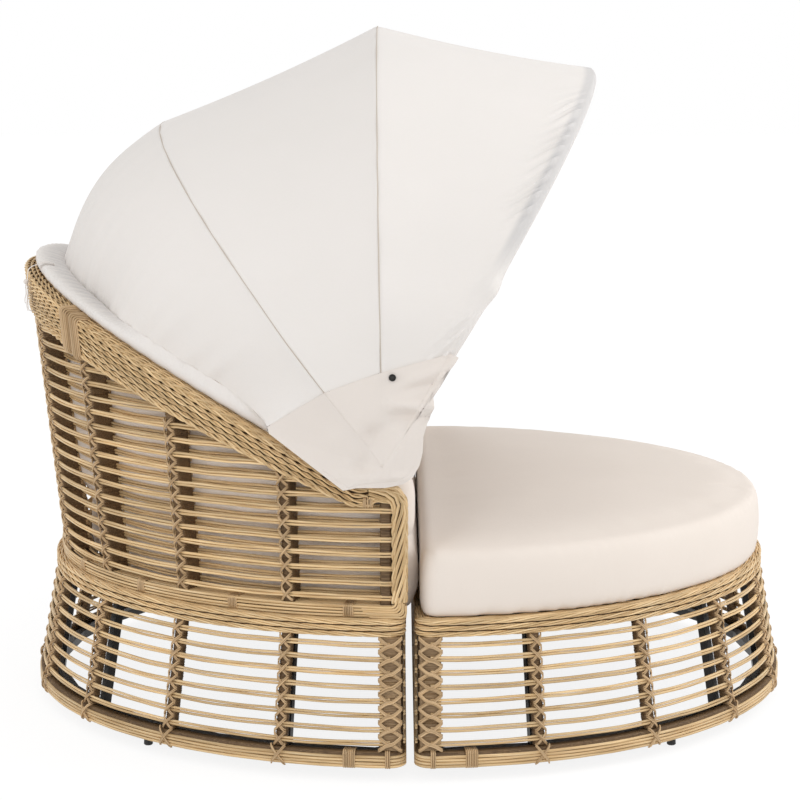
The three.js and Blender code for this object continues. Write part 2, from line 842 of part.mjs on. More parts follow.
// Steel bracket: a foot screwed on the arm's flat top and an upright plate with the bolt's hole.
function pivotBracket() {
  const low = armHeight + seat;
  const high = low + bracketFootThickness;
  const back = pivotX - bracketFootBack;
  const front = pivotX + bracketFootFront;
  const shape = new THREE.Shape();
  shape.moveTo(back, low);
  shape.lineTo(front, low);
  shape.lineTo(front, high);
  shape.absarc(pivotX, pivotZ, bracketHeadRadius, 0, Math.PI, false);
  shape.lineTo(back, high);
  const hole = new THREE.Path();
  hole.absarc(pivotX, pivotZ, boltRadius + boltPlay, 0, 2 * Math.PI, true);
  shape.holes.push(hole);
  const options = { depth: bracketThickness, bevelEnabled: false, curveSegments: 6 };
  const plate = new THREE.ExtrudeGeometry(shape, options).rotateX(Math.PI / 2);
  plate.translate(0, -bracketSide + bracketThickness, 0);
  const sole = new THREE.BoxGeometry(front - back, bracketFootWidth, bracketFootThickness);
  sole.translate(
    (front + back) / 2,
    -bracketSide + bracketThickness - bracketFootWidth / 2,
    (low + high) / 2,
  );
  return joined([plate, sole]);
}

// Cloth

// A sheet from a grid of points on its outer face. The inward function gives, for a grid place,
// the direction in which the inner face lies, or nothing where the sheet's own normal serves.
function clothSheet(grid, inward, centre) {
  const rows = grid.length;
  const columns = grid[0].length;
  const at = (i, j) =>
    grid[Math.min(rows - 1, Math.max(0, i))][Math.min(columns - 1, Math.max(0, j))];
  const inner = grid.map((row, i) =>
    row.map((point, j) => {
      const set = inward(i, j);
      if (set) {
        return point.clone().addScaledVector(set, clothThickness);
      }
      const along = at(i + 1, j).clone().sub(at(i - 1, j));
      const aside = at(i, j + 1).clone().sub(at(i, j - 1));
      const normal = along.cross(aside).normalize();
      if (normal.dot(centre.clone().sub(point)) < 0) {
        normal.negate();
      }
      return point.clone().addScaledVector(normal, clothThickness);
    }),
  );
  const points = [...grid.flat(), ...inner.flat()];
  const offset = rows * columns;
  const index = [];
  const quad = (a, b, c, d) => index.push(a, b, c, a, c, d);
  for (let i = 0; i + 1 < rows; i++) {
    for (let j = 0; j + 1 < columns; j++) {
      const a = i * columns + j;
      const [b, c, d] = [a + 1, a + columns + 1, a + columns];
      quad(a, b, c, d);
      quad(offset + a, offset + d, offset + c, offset + b);
    }
  }
  const rim = [];
  for (let j = 0; j < columns; j++) {
    rim.push(j);
  }
  for (let i = 1; i < rows; i++) {
    rim.push(i * columns + columns - 1);
  }
  for (let j = columns - 2; j >= 0; j--) {
    rim.push((rows - 1) * columns + j);
  }
  for (let i = rows - 2; i > 0; i--) {
    rim.push(i * columns);
  }
  rim.forEach((a, k) => {
    const b = rim[(k + 1) % rim.length];
    quad(a, offset + a, offset + b, b);
  });
  return facingOut(points, index);
}

const canopyCentre = new THREE.Vector3(pivotX, 0, pivotZ + bowHalfWidth / 4);

// A line of the cloth over a bow, at a distance forwards of the bow's plane.
function bowSeam(bow, forward) {
  return stationTurns(bow).map((turn) => {
    const [reach, side] = bowCentre(bow, turn);
    const [outReach, outSide] = bowOutward(bow, turn);
    const lift = clothLift + clothThickness;
    const origin = inBowPlane(bow, 0, 0);
    return {
      point: inBowPlane(bow, reach + outReach * lift, side + outSide * lift, forward),
      inward: inBowPlane(bow, -outReach, -outSide).sub(origin),
    };
  });
}

// The line of the rear hem, on top of the rod that lies along the rim.
function hemTurns() {
  return evenTurns(hemTurn, Math.PI - hemTurn, (Math.PI - 2 * hemTurn) / canopyStations);
}
const hemRodHeight = (turn) => rimTop(turn) + hemRodClearance + hemRodRadius;

function hemSeam() {
  return hemTurns().map((turn) => ({
    point: onWall(
      backWall,
      turn,
      hemRodHeight(turn) + hemRodRadius + clothThickness + hemClothGap,
      -hemRodInset,
    ),
    inward: new THREE.Vector3(0, 0, -1),
  }));
}

// How far a panel domes outwards, at a share of the way along its seams and up from the first.
function domeAt(dome, along, share) {
  const power = domeShare / (1 - domeShare);
  const up = (share / domeShare) ** power * ((1 - share) / (1 - domeShare));
  return dome * Math.sin(Math.PI * along) * up;
}

// A panel of taut cloth between two seam lines, with a little sag between them, and domed where
// asked. Past the second line it goes on to a third one, where that is given.
function panelGrid(from, to, beyond, dome = 0) {
  return from.map((start, i) => {
    const row = [];
    for (let j = 0; j <= panelRows; j++) {
      const share = j / panelRows;
      const point = start.point.clone().lerp(to[i].point, share);
      const out = domeAt(dome, i / (from.length - 1), share);
      const sag = panelSag * 4 * share * (1 - share) - out;
      const down = canopyCentre.clone().sub(point).normalize();
      row.push(point.addScaledVector(down, sag));
    }
    return beyond ? [...row, beyond[i].point] : row;
  });
}

function clothPanel(from, to, beyond, dome) {
  const inward = (i, j) => {
    if (j === 0) {
      return from[i].inward;
    }
    return j >= panelRows ? to[i].inward : null;
  };
  return clothSheet(panelGrid(from, to, beyond, dome), inward, canopyCentre);
}

const seams = {
  hem: hemSeam(),
  rearWrap: bowSeam(bows.rear, -bowWrap),
  rearBack: bowSeam(bows.rear, -clothSeam),
  rearFront: bowSeam(bows.rear, clothSeam),
  middleBack: bowSeam(bows.middle, -clothSeam),
  middleFront: bowSeam(bows.middle, clothSeam),
  front: bowSeam(bows.front, 0),
  frontHem: bowSeam(bows.front, frontHem),
};

// The side flap hangs from the lower ends of the three panels and covers the pivot.
function flap() {
  const pivot = new THREE.Vector3(pivotX, 0, pivotZ);
  const tops = [
    ...panelGrid(seams.hem, seams.rearWrap, seams.rearBack)[0],
    ...panelGrid(seams.rearFront, seams.middleBack)[0].slice(1),
    ...panelGrid(seams.middleFront, seams.front)[0].slice(1),
  ].map((point, i) => {
    const towards = pivot.clone().setY(point.y).sub(point).normalize();
    const turnedDown = i < panelRows ? clothThickness * (1 - i / panelRows) : 0;
    return point.clone().addScaledVector(towards, 2 * clothSeam + seat + turnedDown);
  });
  const columns = tops.length - 1;
  const rear = tops[0].clone().add(new THREE.Vector3(0, 0, -flapRearDrop));
  const low = new THREE.Vector3(flapLow.x, -bowHalfWidth - flapLow.out, flapLow.z);
  const front = new THREE.Vector3(flapFront.x, -bowHalfWidth - flapFront.out, flapFront.z);
  const split = Math.round(columns * flapLowShare);
  const bottoms = tops.map((_, i) =>
    i <= split
      ? rear.clone().lerp(low, i / split)
      : low.clone().lerp(front, (i - split) / (columns - split)),
  );
  const grid = tops.map((top, i) => {
    const forward = i / columns;
    const row = [];
    for (let j = 0; j <= flapRows; j++) {
      const down = j / flapRows;
      const point = top.clone().lerp(bottoms[i], down);
      const middle = 4 * down * (1 - down);
      point.y -= flapBulge * middle * Math.sin(Math.PI * forward);
      point.y -= flapFold * Math.sin(flapFoldCount * Math.PI * down) * forward ** 2;
      point.x -= flapDraw * middle * forward ** 3;
      row.push(point);
    }
    return row;
  });
  return clothSheet(grid, () => new THREE.Vector3(0, 1, 0), canopyCentre);
}

function hemRod() {
  const rings = hemTurns().map((turn) => {
    const centre = onWall(backWall, turn, hemRodHeight(turn), -hemRodInset);
    return Array.from({ length: tubeSides }, (_, i) => {
      const angle = ((i + 0.5) * 2 * Math.PI) / tubeSides;
      const point = centre.clone().addScaledVector(outwardAt(turn), -hemRodRadius * Math.cos(angle));
      point.z += hemRodRadius * Math.sin(angle);
      return point;
    });
  });
  return loft(rings);
}

// Assembly. Left pieces are the right ones mirrored across the middle plane, and the ottoman's
// are the loveseat's mirrored across the gap.
const across = [1, -1];
const flipX = ([x, y]) => [-x, y];

function baseUnit(prefix, place) {
  const put = (name, geometry, look, mirror = [1, 1]) =>
    piece(prefix + name, geometry, look, place(mirror));
  put("frame", frame(), steel);
  for (const panel of panelBays) {
    const name = "weave_" + panel.name;
    put(name, basePanel(panel), wicker);
    if (mirrored[panel.name]) {
      put("weave_" + mirrored[panel.name], basePanel(panel), wicker, across);
    }
  }
  put("weave_flat", flatPanel(), wicker);
  put("bottom_rim", baseRim(footHeight, bottomRimTop, bottomRimDepth, bottomRimProud), darkWicker);
  put("top_braid", baseRim(braidBottom, baseHeight, braidDepth, braidProud), darkWicker);
  for (const [name, [x, y]] of Object.entries(footPlaces())) {
    put("foot_" + name, foot(x, y), plastic);
  }
}

baseUnit("seat_base_", (mirror) => mirror);
baseUnit("ottoman_", flipX);
const ottomanFlat = flatX + ottomanCushionSetback;
const ottomanCushion = dCushion(ottomanCushionHalf, ottomanFlat, cushionBottom, cushionTop);
piece("ottoman_cushion", ottomanCushion, cushionFabric, [-1, 1]);
const seatFlat = flatX - seatCushionReach;
const seatCushion = dCushion(seatCushionHalf, seatFlat, cushionBottom, cushionTop);
piece("seat_cushion", seatCushion, cushionFabric);

piece("backrest_rail", backRail(), darkWicker);
for (const panel of panelBays) {
  piece("backrest_weave_" + panel.name, backPanel(panel), wicker);
  if (mirrored[panel.name]) {
    piece("backrest_weave_" + mirrored[panel.name], backPanel(panel), wicker, across);
  }
}
piece("backrest_rim_rear", rearRim(), darkWicker);
piece("backrest_rim_right", sideRim(), darkWicker);
piece("backrest_rim_left", sideRim(), darkWicker, across);

const cushionSplit = collarTurn + cushionSplitPast;
const cushionJointTurn = turnOf(backWall, cushionSplit, cushionTop, backCushionJoint / 2);
const cushionFront = Math.asin((flatX - sideCushionReach) / halfLength(backWall, cushionTop));
piece(
  "back_cushion_rear",
  backCushion(cushionSplit + cushionJointTurn, Math.PI - cushionSplit - cushionJointTurn),
  cushionFabric,
);
for (const [name, mirror] of [["right", [1, 1]], ["left", across]]) {
  const side = backCushion(cushionFront, cushionSplit - cushionJointTurn);
  piece("back_cushion_" + name, side, cushionFabric, mirror);
  piece("pivot_bracket_" + name, pivotBracket(), steel, mirror);
  piece("pivot_bolt_" + name, pivotBolt(), steel, mirror);
  piece("canopy_flap_" + name, flap(), canopyFabric, mirror);
}

piece("canopy_hem_rod", hemRod(), steel);
piece("canopy_bow_rear", bowPiece(bows.rear), steel);
piece("canopy_bow_middle", bowPiece(bows.middle), steel);
piece("canopy_bow_front", bowPiece(bows.front), steel);
const rearPanel = clothPanel(seams.hem, seams.rearWrap, seams.rearBack, rearPanelDome);
piece("canopy_panel_rear", rearPanel, canopyFabric);
piece("canopy_panel_middle", clothPanel(seams.rearFront, seams.middleBack), canopyFabric);
piece("canopy_panel_front", clothPanel(seams.middleFront, seams.front, seams.frontHem), canopyFabric);

export default group;
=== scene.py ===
import math

import bpy
import numpy as np
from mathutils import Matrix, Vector

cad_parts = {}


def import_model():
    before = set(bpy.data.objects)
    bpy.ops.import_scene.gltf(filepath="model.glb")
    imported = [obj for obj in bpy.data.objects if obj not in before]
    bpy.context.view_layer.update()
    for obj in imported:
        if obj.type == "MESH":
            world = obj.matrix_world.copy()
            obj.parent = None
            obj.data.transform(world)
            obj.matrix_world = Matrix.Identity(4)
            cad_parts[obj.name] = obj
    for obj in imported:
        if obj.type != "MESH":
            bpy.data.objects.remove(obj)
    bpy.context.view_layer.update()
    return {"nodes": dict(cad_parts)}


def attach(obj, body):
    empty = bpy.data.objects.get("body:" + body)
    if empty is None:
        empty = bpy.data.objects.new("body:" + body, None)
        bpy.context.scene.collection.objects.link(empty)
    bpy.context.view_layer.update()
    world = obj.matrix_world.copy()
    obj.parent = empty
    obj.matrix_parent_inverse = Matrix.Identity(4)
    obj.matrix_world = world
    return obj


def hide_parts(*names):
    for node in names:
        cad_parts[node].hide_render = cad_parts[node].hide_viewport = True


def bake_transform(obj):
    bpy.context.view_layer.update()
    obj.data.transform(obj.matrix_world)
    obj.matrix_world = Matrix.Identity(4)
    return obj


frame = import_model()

rng = np.random.default_rng(11)

# Driving sizes of the object, in metres and radians
SIDE_INSET = 0.070  # half length less half width of every oval
FLAT_X = 0.007  # half of the gap between the two units
SEAT = 0.0003
FOOT_HEIGHT = 0.028
BOTTOM_RIM_TOP = 0.064
BASE_HEIGHT = 0.330
BRAID_BOTTOM = 0.291
RAIL_BOTTOM = 0.3303
RAIL_TOP = 0.3573
BACK_HEIGHT = 1.000
ARM_HEIGHT = 0.609
CUSHION_TOP = 0.474
ARM_RIM = 0.040
ARM_BAND = 0.030  # the arm's rope past its cuff, and down the front edge
REAR_RIM = 0.090
RIM_SWELL = 0.8
RIM_PROUD = 0.009
RIM_DEPTH = 0.046
ARM_FLAT = 0.115
ARM_CORNER = 0.045
COLLAR_TURN = math.radians(56)
BAY = math.pi / 10
LAST_POST = 10
BASE_ROWS = 8
BACK_PITCH = 0.031
POST_WIDTH = 0.026
CORNER_POST = 0.046
POST_PROUD = 0.002
POST_FACE = 0.0012  # the wound face, just under the solid's
BASE_POST_DEPTH = 0.022
BACK_POST_DEPTH = 0.048
FLAT_WALL_DEPTH = 0.0113
OVERRUN = 0.001

# Walls as lowest and highest height with the oval's half length at each
BASE_WALL = (0.046, 0.3105, 0.874, 0.826)
BACK_WALL = (RAIL_BOTTOM, BACK_HEIGHT - REAR_RIM, 0.812, 0.872)

PIVOT = np.array([-0.056, 0.0, 0.660])
UP = (0, 0, 1)
SIDEWAYS = np.array([0, 1, 0])
ROD_RADIUS = 0.0029  # one strand of a rod
ROD_WOBBLE = 0.0008
TIE_RADIUS = 0.0017
WRAP_PITCH = 0.0036  # a post's winding
WRAP_RELIEF = 0.0012
EDGE = 0.006  # rounding of posts and cores
SHARP = math.radians(75)


def smoothstep(x, low, high):
    t = np.clip((np.asarray(x, float) - low) / (high - low), 0.0, 1.0)
    return t * t * (3 - 2 * t)


def unit(v):
    return v / np.maximum(np.linalg.norm(v, axis=-1, keepdims=True), 1e-12)


def bell(x, width):
    """A soft bump of height 1."""
    return np.exp(-(x / width) ** 2)


def distances(path):
    """How far each point of a path lies along it."""
    return np.concatenate([[0], np.cumsum(np.linalg.norm(np.diff(path, axis=0), axis=1))])


def any_phase():
    """A random phase of up to about a full turn."""
    return 6.3 * rng.random()


def ripple(count, top, size):
    """A slow wave of a random phase along a strand."""
    return size * np.sin(np.linspace(0, top, count) + any_phase())


def half_length(wall, z):
    low, high, low_half, high_half = wall
    return low_half + (high_half - low_half) * (z - low) / (high - low)


def on_wall(wall, turn, z, out=0.0):
    """A point of a wall. A turn of 0 is the right end at the gap, a quarter turn the far middle."""
    turn, z, out = np.broadcast_arrays(*(np.asarray(v, float) for v in (turn, z, out)))
    half = half_length(wall, z) + out
    return np.stack([-half * np.sin(turn), (SIDE_INSET - half) * np.cos(turn), z], axis=-1)


def turn_at(wall, x, z, out=0.0):
    return np.arcsin(np.minimum(1.0, x / (half_length(wall, z) + out)))


def turn_of(wall, turn, z, length):
    """The turn that covers a length along the wall's face."""
    half = half_length(wall, z)
    return length / np.hypot(half * np.cos(turn), (half - SIDE_INSET) * np.sin(turn))


def outward(turn):
    turn = np.asarray(turn, float)
    return np.stack([-np.sin(turn), -np.cos(turn), 0 * turn], axis=-1)


def sided(turn, mirror):
    """A turn on the right, or its mirror image on the left."""
    return math.pi - turn if mirror else turn


def neighbours(path, closed):
    """The points after and before each point of a path."""
    if closed:
        return np.roll(path, -1, 0), np.roll(path, 1, 0)
    return np.vstack([path[1:], path[-1:]]), np.vstack([path[:1], path[:-1]])


def tube_quads(n, sides, closed):
    """Quads between n rings, with both ends filled unless the rings close on themselves."""
    last = n if closed else n - 1
    i = np.arange(last)[:, None] * sides
    j = np.arange(sides)[None]
    k = (j + 1) % sides
    up = (np.arange(1, last + 1) % n)[:, None] * sides
    quads = np.stack([i + j, up + j, up + k, i + k], axis=-1).reshape(-1, 4)
    if closed:
        return quads
    cap = np.array([[(sides - j) % sides, 1 + j, 2 + j, sides - 1 - j] for j in range(sides // 2 - 1)])
    return np.vstack([quads, cap, cap[:, ::-1] + (n - 1) * sides])


def signed_volume(points, quads):
    a, b, c, d = (points[quads[:, i]] for i in range(4))
    return float(np.sum(a * np.cross(b, c)) + np.sum(a * np.cross(c, d)))


def grid_normal(grid):
    return unit(np.cross(np.gradient(grid, axis=0), np.gradient(grid, axis=1)))


class Builder:
    """Collects tubes and sheets into one mesh. Grain holds the place along and around a strand."""

    def __init__(self, flip=False):
        self.flip = flip
        self.points, self.quads, self.grain, self.tint, self.look = [], [], [], [], []
        self.count = 0

    def add(self, points, quads, grain=None, look=0):
        points = np.asarray(points, float).reshape(-1, 3)
        self.points.append(points)
        self.quads.append(np.asarray(quads, int).reshape(-1, 4) + self.count)
        self.grain.append(points if grain is None else grain)
        self.tint.append(np.full(len(points), rng.random()))
        self.look.append(np.full(len(self.quads[-1]), look))
        self.count += len(points)

    def tube(self, path, radius, ref=UP, sides=6, closed=False, look=0):
        """A round strand along a path."""
        path = np.asarray(path, float)
        ahead, behind = neighbours(path, closed)
        along = unit(ahead - behind)
        side = unit(np.cross(along, ref))
        angle = 2 * math.pi * (np.arange(sides) + 0.5) / sides
        across, above = radius * np.cos(angle), radius * np.sin(angle)
        ring = across[:, None] * side[:, None] + above[:, None] * np.cross(side, along)[:, None]
        far = distances(path)[:, None] + 9 * rng.random()
        grain = np.stack(np.broadcast_arrays(far, across, above), axis=-1).reshape(-1, 3)
        self.add(path[:, None] + ring, tube_quads(len(path), sides, closed), grain, look)

    def rings(self, rings, closed=False, look=0, turned=False):
        """A closed form through rings of points with the same even count."""
        rings = np.asarray(rings, float)
        quads = tube_quads(*rings.shape[:2], closed)
        self.add(rings, quads[:, ::-1] if turned else quads, None, look)

    def sheet(self, grid, thickness, turned=False):
        """A thin closed shell whose outer face is a grid of points."""
        rows, columns = grid.shape[:2]
        inner = grid - (-1 if turned else 1) * grid_normal(grid) * thickness
        a = (np.arange(rows - 1)[:, None] * columns + np.arange(columns - 1)).ravel()
        top = np.stack([a, a + columns, a + columns + 1, a + 1], axis=1)
        rim = np.concatenate([
            np.arange(columns - 1),
            np.arange(rows - 1) * columns + columns - 1,
            (rows - 1) * columns + np.arange(columns - 1, 0, -1),
            np.arange(rows - 1, 0, -1) * columns,
        ])
        after = np.roll(rim, -1)
        size = rows * columns
        edge = np.stack([rim, after, after + size, rim + size], axis=1)
        quads = np.vstack([top, top[:, ::-1] + size, edge])
        points = np.concatenate([grid.reshape(-1, 3), inner.reshape(-1, 3)])
        self.add(points, quads[:, ::-1] if turned else quads)

    def finish(self, name, *materials, node=None):
        """Makes the mesh object, which stands for a node of the frame if one is given."""
        points, quads = np.vstack(self.points), np.vstack(self.quads)
        if self.flip:
            points = points * [-1, 1, 1]
            quads = quads[:, ::-1]
        mesh = bpy.data.meshes.new(name)
        mesh.vertices.add(len(points))
        mesh.vertices.foreach_set("co", points.astype(np.float32).ravel())
        mesh.loops.add(quads.size)
        mesh.loops.foreach_set("vertex_index", quads.astype(np.int32).ravel())
        mesh.polygons.add(len(quads))
        mesh.polygons.foreach_set("loop_start", np.arange(0, quads.size, 4, dtype=np.int32))
        for material in materials:
            mesh.materials.append(material)
        mesh.polygons.foreach_set("material_index", np.concatenate(self.look).astype(np.int32))
        mesh.update(calc_edges=True)
        grain = mesh.attributes.new("grain", "FLOAT_VECTOR", "POINT")
        grain.data.foreach_set("vector", np.vstack(self.grain).astype(np.float32).ravel())
        tint = mesh.attributes.new("tint", "FLOAT", "POINT")
        tint.data.foreach_set("value", np.concatenate(self.tint).astype(np.float32))
        mesh.shade_smooth()
        mesh.set_sharp_from_angle(angle=SHARP)
        made = bpy.data.objects.new(name, mesh)
        bpy.context.scene.collection.objects.link(made)
        if node:
            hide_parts(node)
        return made


def dress(obj, body):
    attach(obj, body)


# Materials


class Nodes:
    """A short way to write the nodes of a material or a world."""

    def __init__(self, owner, shader="Principled BSDF"):
        owner.use_nodes = True
        self.owner, self.tree = owner, owner.node_tree
        self.shader = self.tree.nodes[shader]

    def put(self, node, inputs):
        """Links sockets and sets plain values on a node's inputs."""
        for key, value in inputs.items():
            if isinstance(value, bpy.types.NodeSocket):
                self.tree.links.new(value, node.inputs[key])
            else:
                node.inputs[key].default_value = value

    def new(self, kind, inputs=None, **settings):
        node = self.tree.nodes.new("ShaderNode" + kind)
        for key, value in settings.items():
            setattr(node, key, value)
        self.put(node, inputs or {})
        return node

    def shade(self, inputs):
        self.put(self.shader, inputs)
        return self.owner

    def place(self):
        return self.new("TexCoord").outputs["Object"]

    def point_value(self, name, output="Fac"):
        return self.new("Attribute", attribute_name=name).outputs[output]

    def ramp(self, factor, stops):
        node = self.new("ValToRGB", {"Fac": factor})
        while len(node.color_ramp.elements) < len(stops):
            node.color_ramp.elements.new(0.5)
        for element, (place, colour) in zip(node.color_ramp.elements, stops):
            element.position = place
            element.color = (*colour, 1)
        return node.outputs["Color"]

    def mix(self, factor, a, b, mode="MIX"):
        a, b = (v if isinstance(v, bpy.types.NodeSocket) else (*v, 1) for v in (a, b))
        return self.new("Mix", {0: factor, 6: a, 7: b}, data_type="RGBA", blend_type=mode).outputs[2]

    def calculate(self, operation, a, b):
        return self.new("Math", {0: a, 1: b}, operation=operation).outputs[0]

    def noise(self, vector, scale, detail=2.0, rough=0.5):
        inputs = {"Vector": vector, "Scale": scale, "Detail": detail, "Roughness": rough}
        return self.new("TexNoise", inputs).outputs["Fac"]

    def streaks(self, vector, stretch, detail=2.0, rough=0.5):
        """Noise stretched by another amount along each axis."""
        wide = self.new("Mapping", {"Vector": vector, "Scale": stretch}).outputs["Vector"]
        return self.noise(wide, 1.0, detail, rough)

    def range(self, value, low, high):
        return self.new("MapRange", {"Value": value, "To Min": low, "To Max": high}).outputs["Result"]

    def bump(self, height, strength, distance, before=None):
        inputs = {"Height": height, "Strength": strength, "Distance": distance}
        if before is not None:
            inputs["Normal"] = before
        return self.new("Bump", inputs).outputs["Normal"]


STRAND_TINTS = [(0.0, (0.80, 0.78, 0.74)), (0.5, (0.97, 0.96, 0.95)), (1.0, (1.1, 1.08, 1.04))]
PATCH_TINTS = [(0.3, (0.86, 0.84, 0.82)), (0.7, (1.06, 1.05, 1.03))]
CLOUD_TINTS = [(0.3, (0.93, 0.93, 0.93)), (0.7, (1.05, 1.05, 1.05))]
SLUB_TINTS = [(0.35, (0.988, 0.987, 0.985)), (0.7, (1.0, 1.0, 1.0))]
PAINTED_SHADE_TONE = (0.60, 0.585, 0.58)  # painted shade: the grey that canopy cloth takes in pleat valleys, gather troughs and over the front tube


def wicker_material(name, roughness, dark, middle, light):
    """Extruded wicker: a tint for each strand, long streaks and fine grooves along it."""
    m = Nodes(bpy.data.materials.new(name))
    grain = m.point_value("grain", "Vector")
    streak = m.streaks(grain, (9, 700, 700), 3.0, 0.6)
    colour = m.ramp(streak, [(0.3, dark), (0.52, middle), (0.72, light)])
    tints = (
        (m.point_value("tint"), STRAND_TINTS),
        (m.streaks(grain, (5, 60, 60)), PATCH_TINTS),
        (m.noise(m.place(), 6.0), CLOUD_TINTS),
    )
    for factor, stops in tints:
        colour = m.mix(1.0, colour, m.ramp(factor, stops), "MULTIPLY")
    return m.shade({
        "Base Color": colour,
        "Roughness": m.range(streak, roughness + 0.08, roughness - 0.08),
        "Normal": m.bump(streak, 0.35, 0.0004),
        "Specular IOR Level": 0.4,
    })


def fabric_material(name, colour, shade, weave, roughness=0.92, sheen=0.15, glow=0.0):
    """A plain-weave outdoor fabric with fine threads, a soft mottle and faint creases."""
    m = Nodes(bpy.data.materials.new(name))
    place = m.place()
    wave = {"Vector": place, "Scale": weave, "Distortion": 0.6, "Detail": 1.0}
    threads = [
        m.new("TexWave", wave, wave_type="BANDS", bands_direction=axis).outputs["Fac"] for axis in "XYZ"
    ]
    woven = m.calculate("ADD", m.calculate("MULTIPLY", threads[0], threads[1]), threads[2])
    mottle = m.noise(place, 3.5, 3.0)
    tone = m.ramp(mottle, [(0.3, shade), (0.7, colour)])
    # Painted shade: the cloth turns grey where its points carry a painted shade value
    tone = m.mix(m.point_value("painted_shade"), tone, PAINTED_SHADE_TONE)
    slub = m.ramp(m.streaks(place, (160, 160, 900), 3.0), SLUB_TINTS)
    crease = m.bump(m.noise(place, 14.0, 4.0, 0.6), 0.12, 0.006)
    if glow:
        m.shade({
            "Subsurface Weight": glow,
            "Subsurface Radius": (0.02, 0.018, 0.016),
            "Subsurface Scale": 0.5,
        })
    return m.shade({
        "Base Color": m.mix(1.0, tone, slub, "MULTIPLY"),
        "Roughness": m.range(mottle, roughness - 0.05, roughness + 0.03),
        "Normal": m.bump(woven, 0.12, 0.0006, crease),
        "Sheen Weight": sheen,
        "Sheen Roughness": 0.5,
        "Specular IOR Level": 0.25,
    })


def metal_material(name, dark, light, roughness, metallic):
    """Powder-coated steel: a fine orange peel, dust and slightly worn tone."""
    m = Nodes(bpy.data.materials.new(name))
    dust = m.noise(m.place(), 9.0, 4.0, 0.6)
    return m.shade({
        "Base Color": m.ramp(dust, [(0.35, dark), (0.75, light)]),
        "Roughness": m.range(dust, roughness - 0.08, roughness + 0.1),
        "Normal": m.bump(m.noise(m.place(), 900.0), 0.2, 0.0004),
        "Metallic": metallic,
    })


WICKER = wicker_material("wicker", 0.48, (0.48, 0.30, 0.135), (0.80, 0.585, 0.32), (0.95, 0.79, 0.54))
TIES = wicker_material("wicker_ties", 0.5, (0.37, 0.235, 0.115), (0.58, 0.41, 0.235), (0.78, 0.60, 0.39))
# Painted shade: the winding's brown is its own colour, darkened here to stand for the shade on the sides of
# posts set back in the weave
WOUND = wicker_material(
    "wound_posts", 0.6, (0.065, 0.035, 0.014), (0.165, 0.098, 0.045), (0.34, 0.225, 0.115)
)
# The lit copy of the winding, for the corner posts that face the light
CORNER = wicker_material(
    "corner_posts", 0.55, (0.14, 0.085, 0.038), (0.36, 0.24, 0.130), (0.58, 0.42, 0.25)
)
# Painted shade: the cores are near black, standing for the shade in the gaps between the strands laid over
# them
SHADE_CORE = wicker_material(
    "wicker_core_shade", 0.75, (0.040, 0.020, 0.008), (0.070, 0.037, 0.015), (0.12, 0.070, 0.030)
)
CUSHION = fabric_material("cushion_cloth", (0.84, 0.760, 0.690), (0.815, 0.735, 0.665), 1100.0)
CANOPY = fabric_material(
    "canopy_cloth", (0.83, 0.79, 0.757), (0.81, 0.772, 0.738), 1300.0, 0.9, 0.1, 0.08
)
FLAP = fabric_material("flap_cloth", (0.80, 0.735, 0.683), (0.775, 0.712, 0.66), 1300.0, 0.9, 0.1, 0.08)
THREAD = fabric_material("seam_thread", (0.60, 0.53, 0.46), (0.55, 0.48, 0.41), 1300.0)
STEEL = metal_material("frame_coat", (0.012, 0.011, 0.010), (0.035, 0.031, 0.028), 0.42, 0.3)
GLIDE = metal_material("glide_moulding", (0.010, 0.010, 0.010), (0.030, 0.029, 0.028), 0.55, 0.0)


# Woven walls


def rod(b, wall, turns, z, out):
    """A rod is a pair of round strands, one on the other."""
    drift = ripple(len(turns), 9, ROD_WOBBLE)
    for side in (-1, 1):
        own = ripple(len(turns), 23, ROD_WOBBLE * 0.6)
        path = on_wall(wall, turns, z + side * ROD_RADIUS * 1.02 + drift + own, out + own)
        b.tube(path, ROD_RADIUS * (0.96 + 0.08 * rng.random()))


def rounded_box(width, low, high, radius, steps=4):
    """Points round a rectangle with rounded corners, with their outward directions."""
    points, normals = [], []
    corners = [(width / 2, high, 0), (-width / 2, high, 1), (-width / 2, low, 2), (width / 2, low, 3)]
    for x, y, quarter in corners:
        cx = x - math.copysign(radius, x)
        cy = high - radius if y == high else low + radius
        for i in range(steps):
            angle = (quarter + (i + 0.5) / steps) * math.pi / 2
            normals.append((math.cos(angle), math.sin(angle)))
            points.append((cx + radius * math.cos(angle), cy + radius * math.sin(angle)))
    return np.array(points), np.array(normals)


def windings(bottom, top):
    """Heights up a wound post, with the relief of its strands at each."""
    count = max(4, int((top - bottom) / WRAP_PITCH) * 2)
    return np.linspace(bottom, top, count + 1), np.where(np.arange(count + 1) % 2, 0.0, -WRAP_RELIEF)


def wound_post(b, wall, turn, width, inner, bottom, top, look=1):
    """A post wound with strands from end to end."""
    section, normals = rounded_box(width - OVERRUN, inner, POST_FACE, EDGE)
    z, relief = windings(bottom, top)
    relief = relief + 0.0003 * rng.standard_normal(len(z))
    place = section[None] + normals[None] * relief[:, None, None]
    turns = turn(z)[:, None]
    shift = turn_of(wall, turns, z[:, None], place[..., 0])
    lean = 0.0005 * np.sin(np.arctan2(normals[:, 1], normals[:, 0]))[None]
    points = on_wall(wall, turns + shift, z[:, None] + lean, place[..., 1])
    b.rings(points, look=look, turned=True)


TIE_PLACES = np.array([-1.2, -1.08, -0.9, -0.68, -0.45, -0.2, 0.0, 0.2, 0.45, 0.68, 0.9, 1.08, 1.2])
TIE_HALF = 0.0105  # half the width of the ties' column on a narrow post
TIE_SHIFT = 0.0030  # it lies off the post's middle, away from the gap


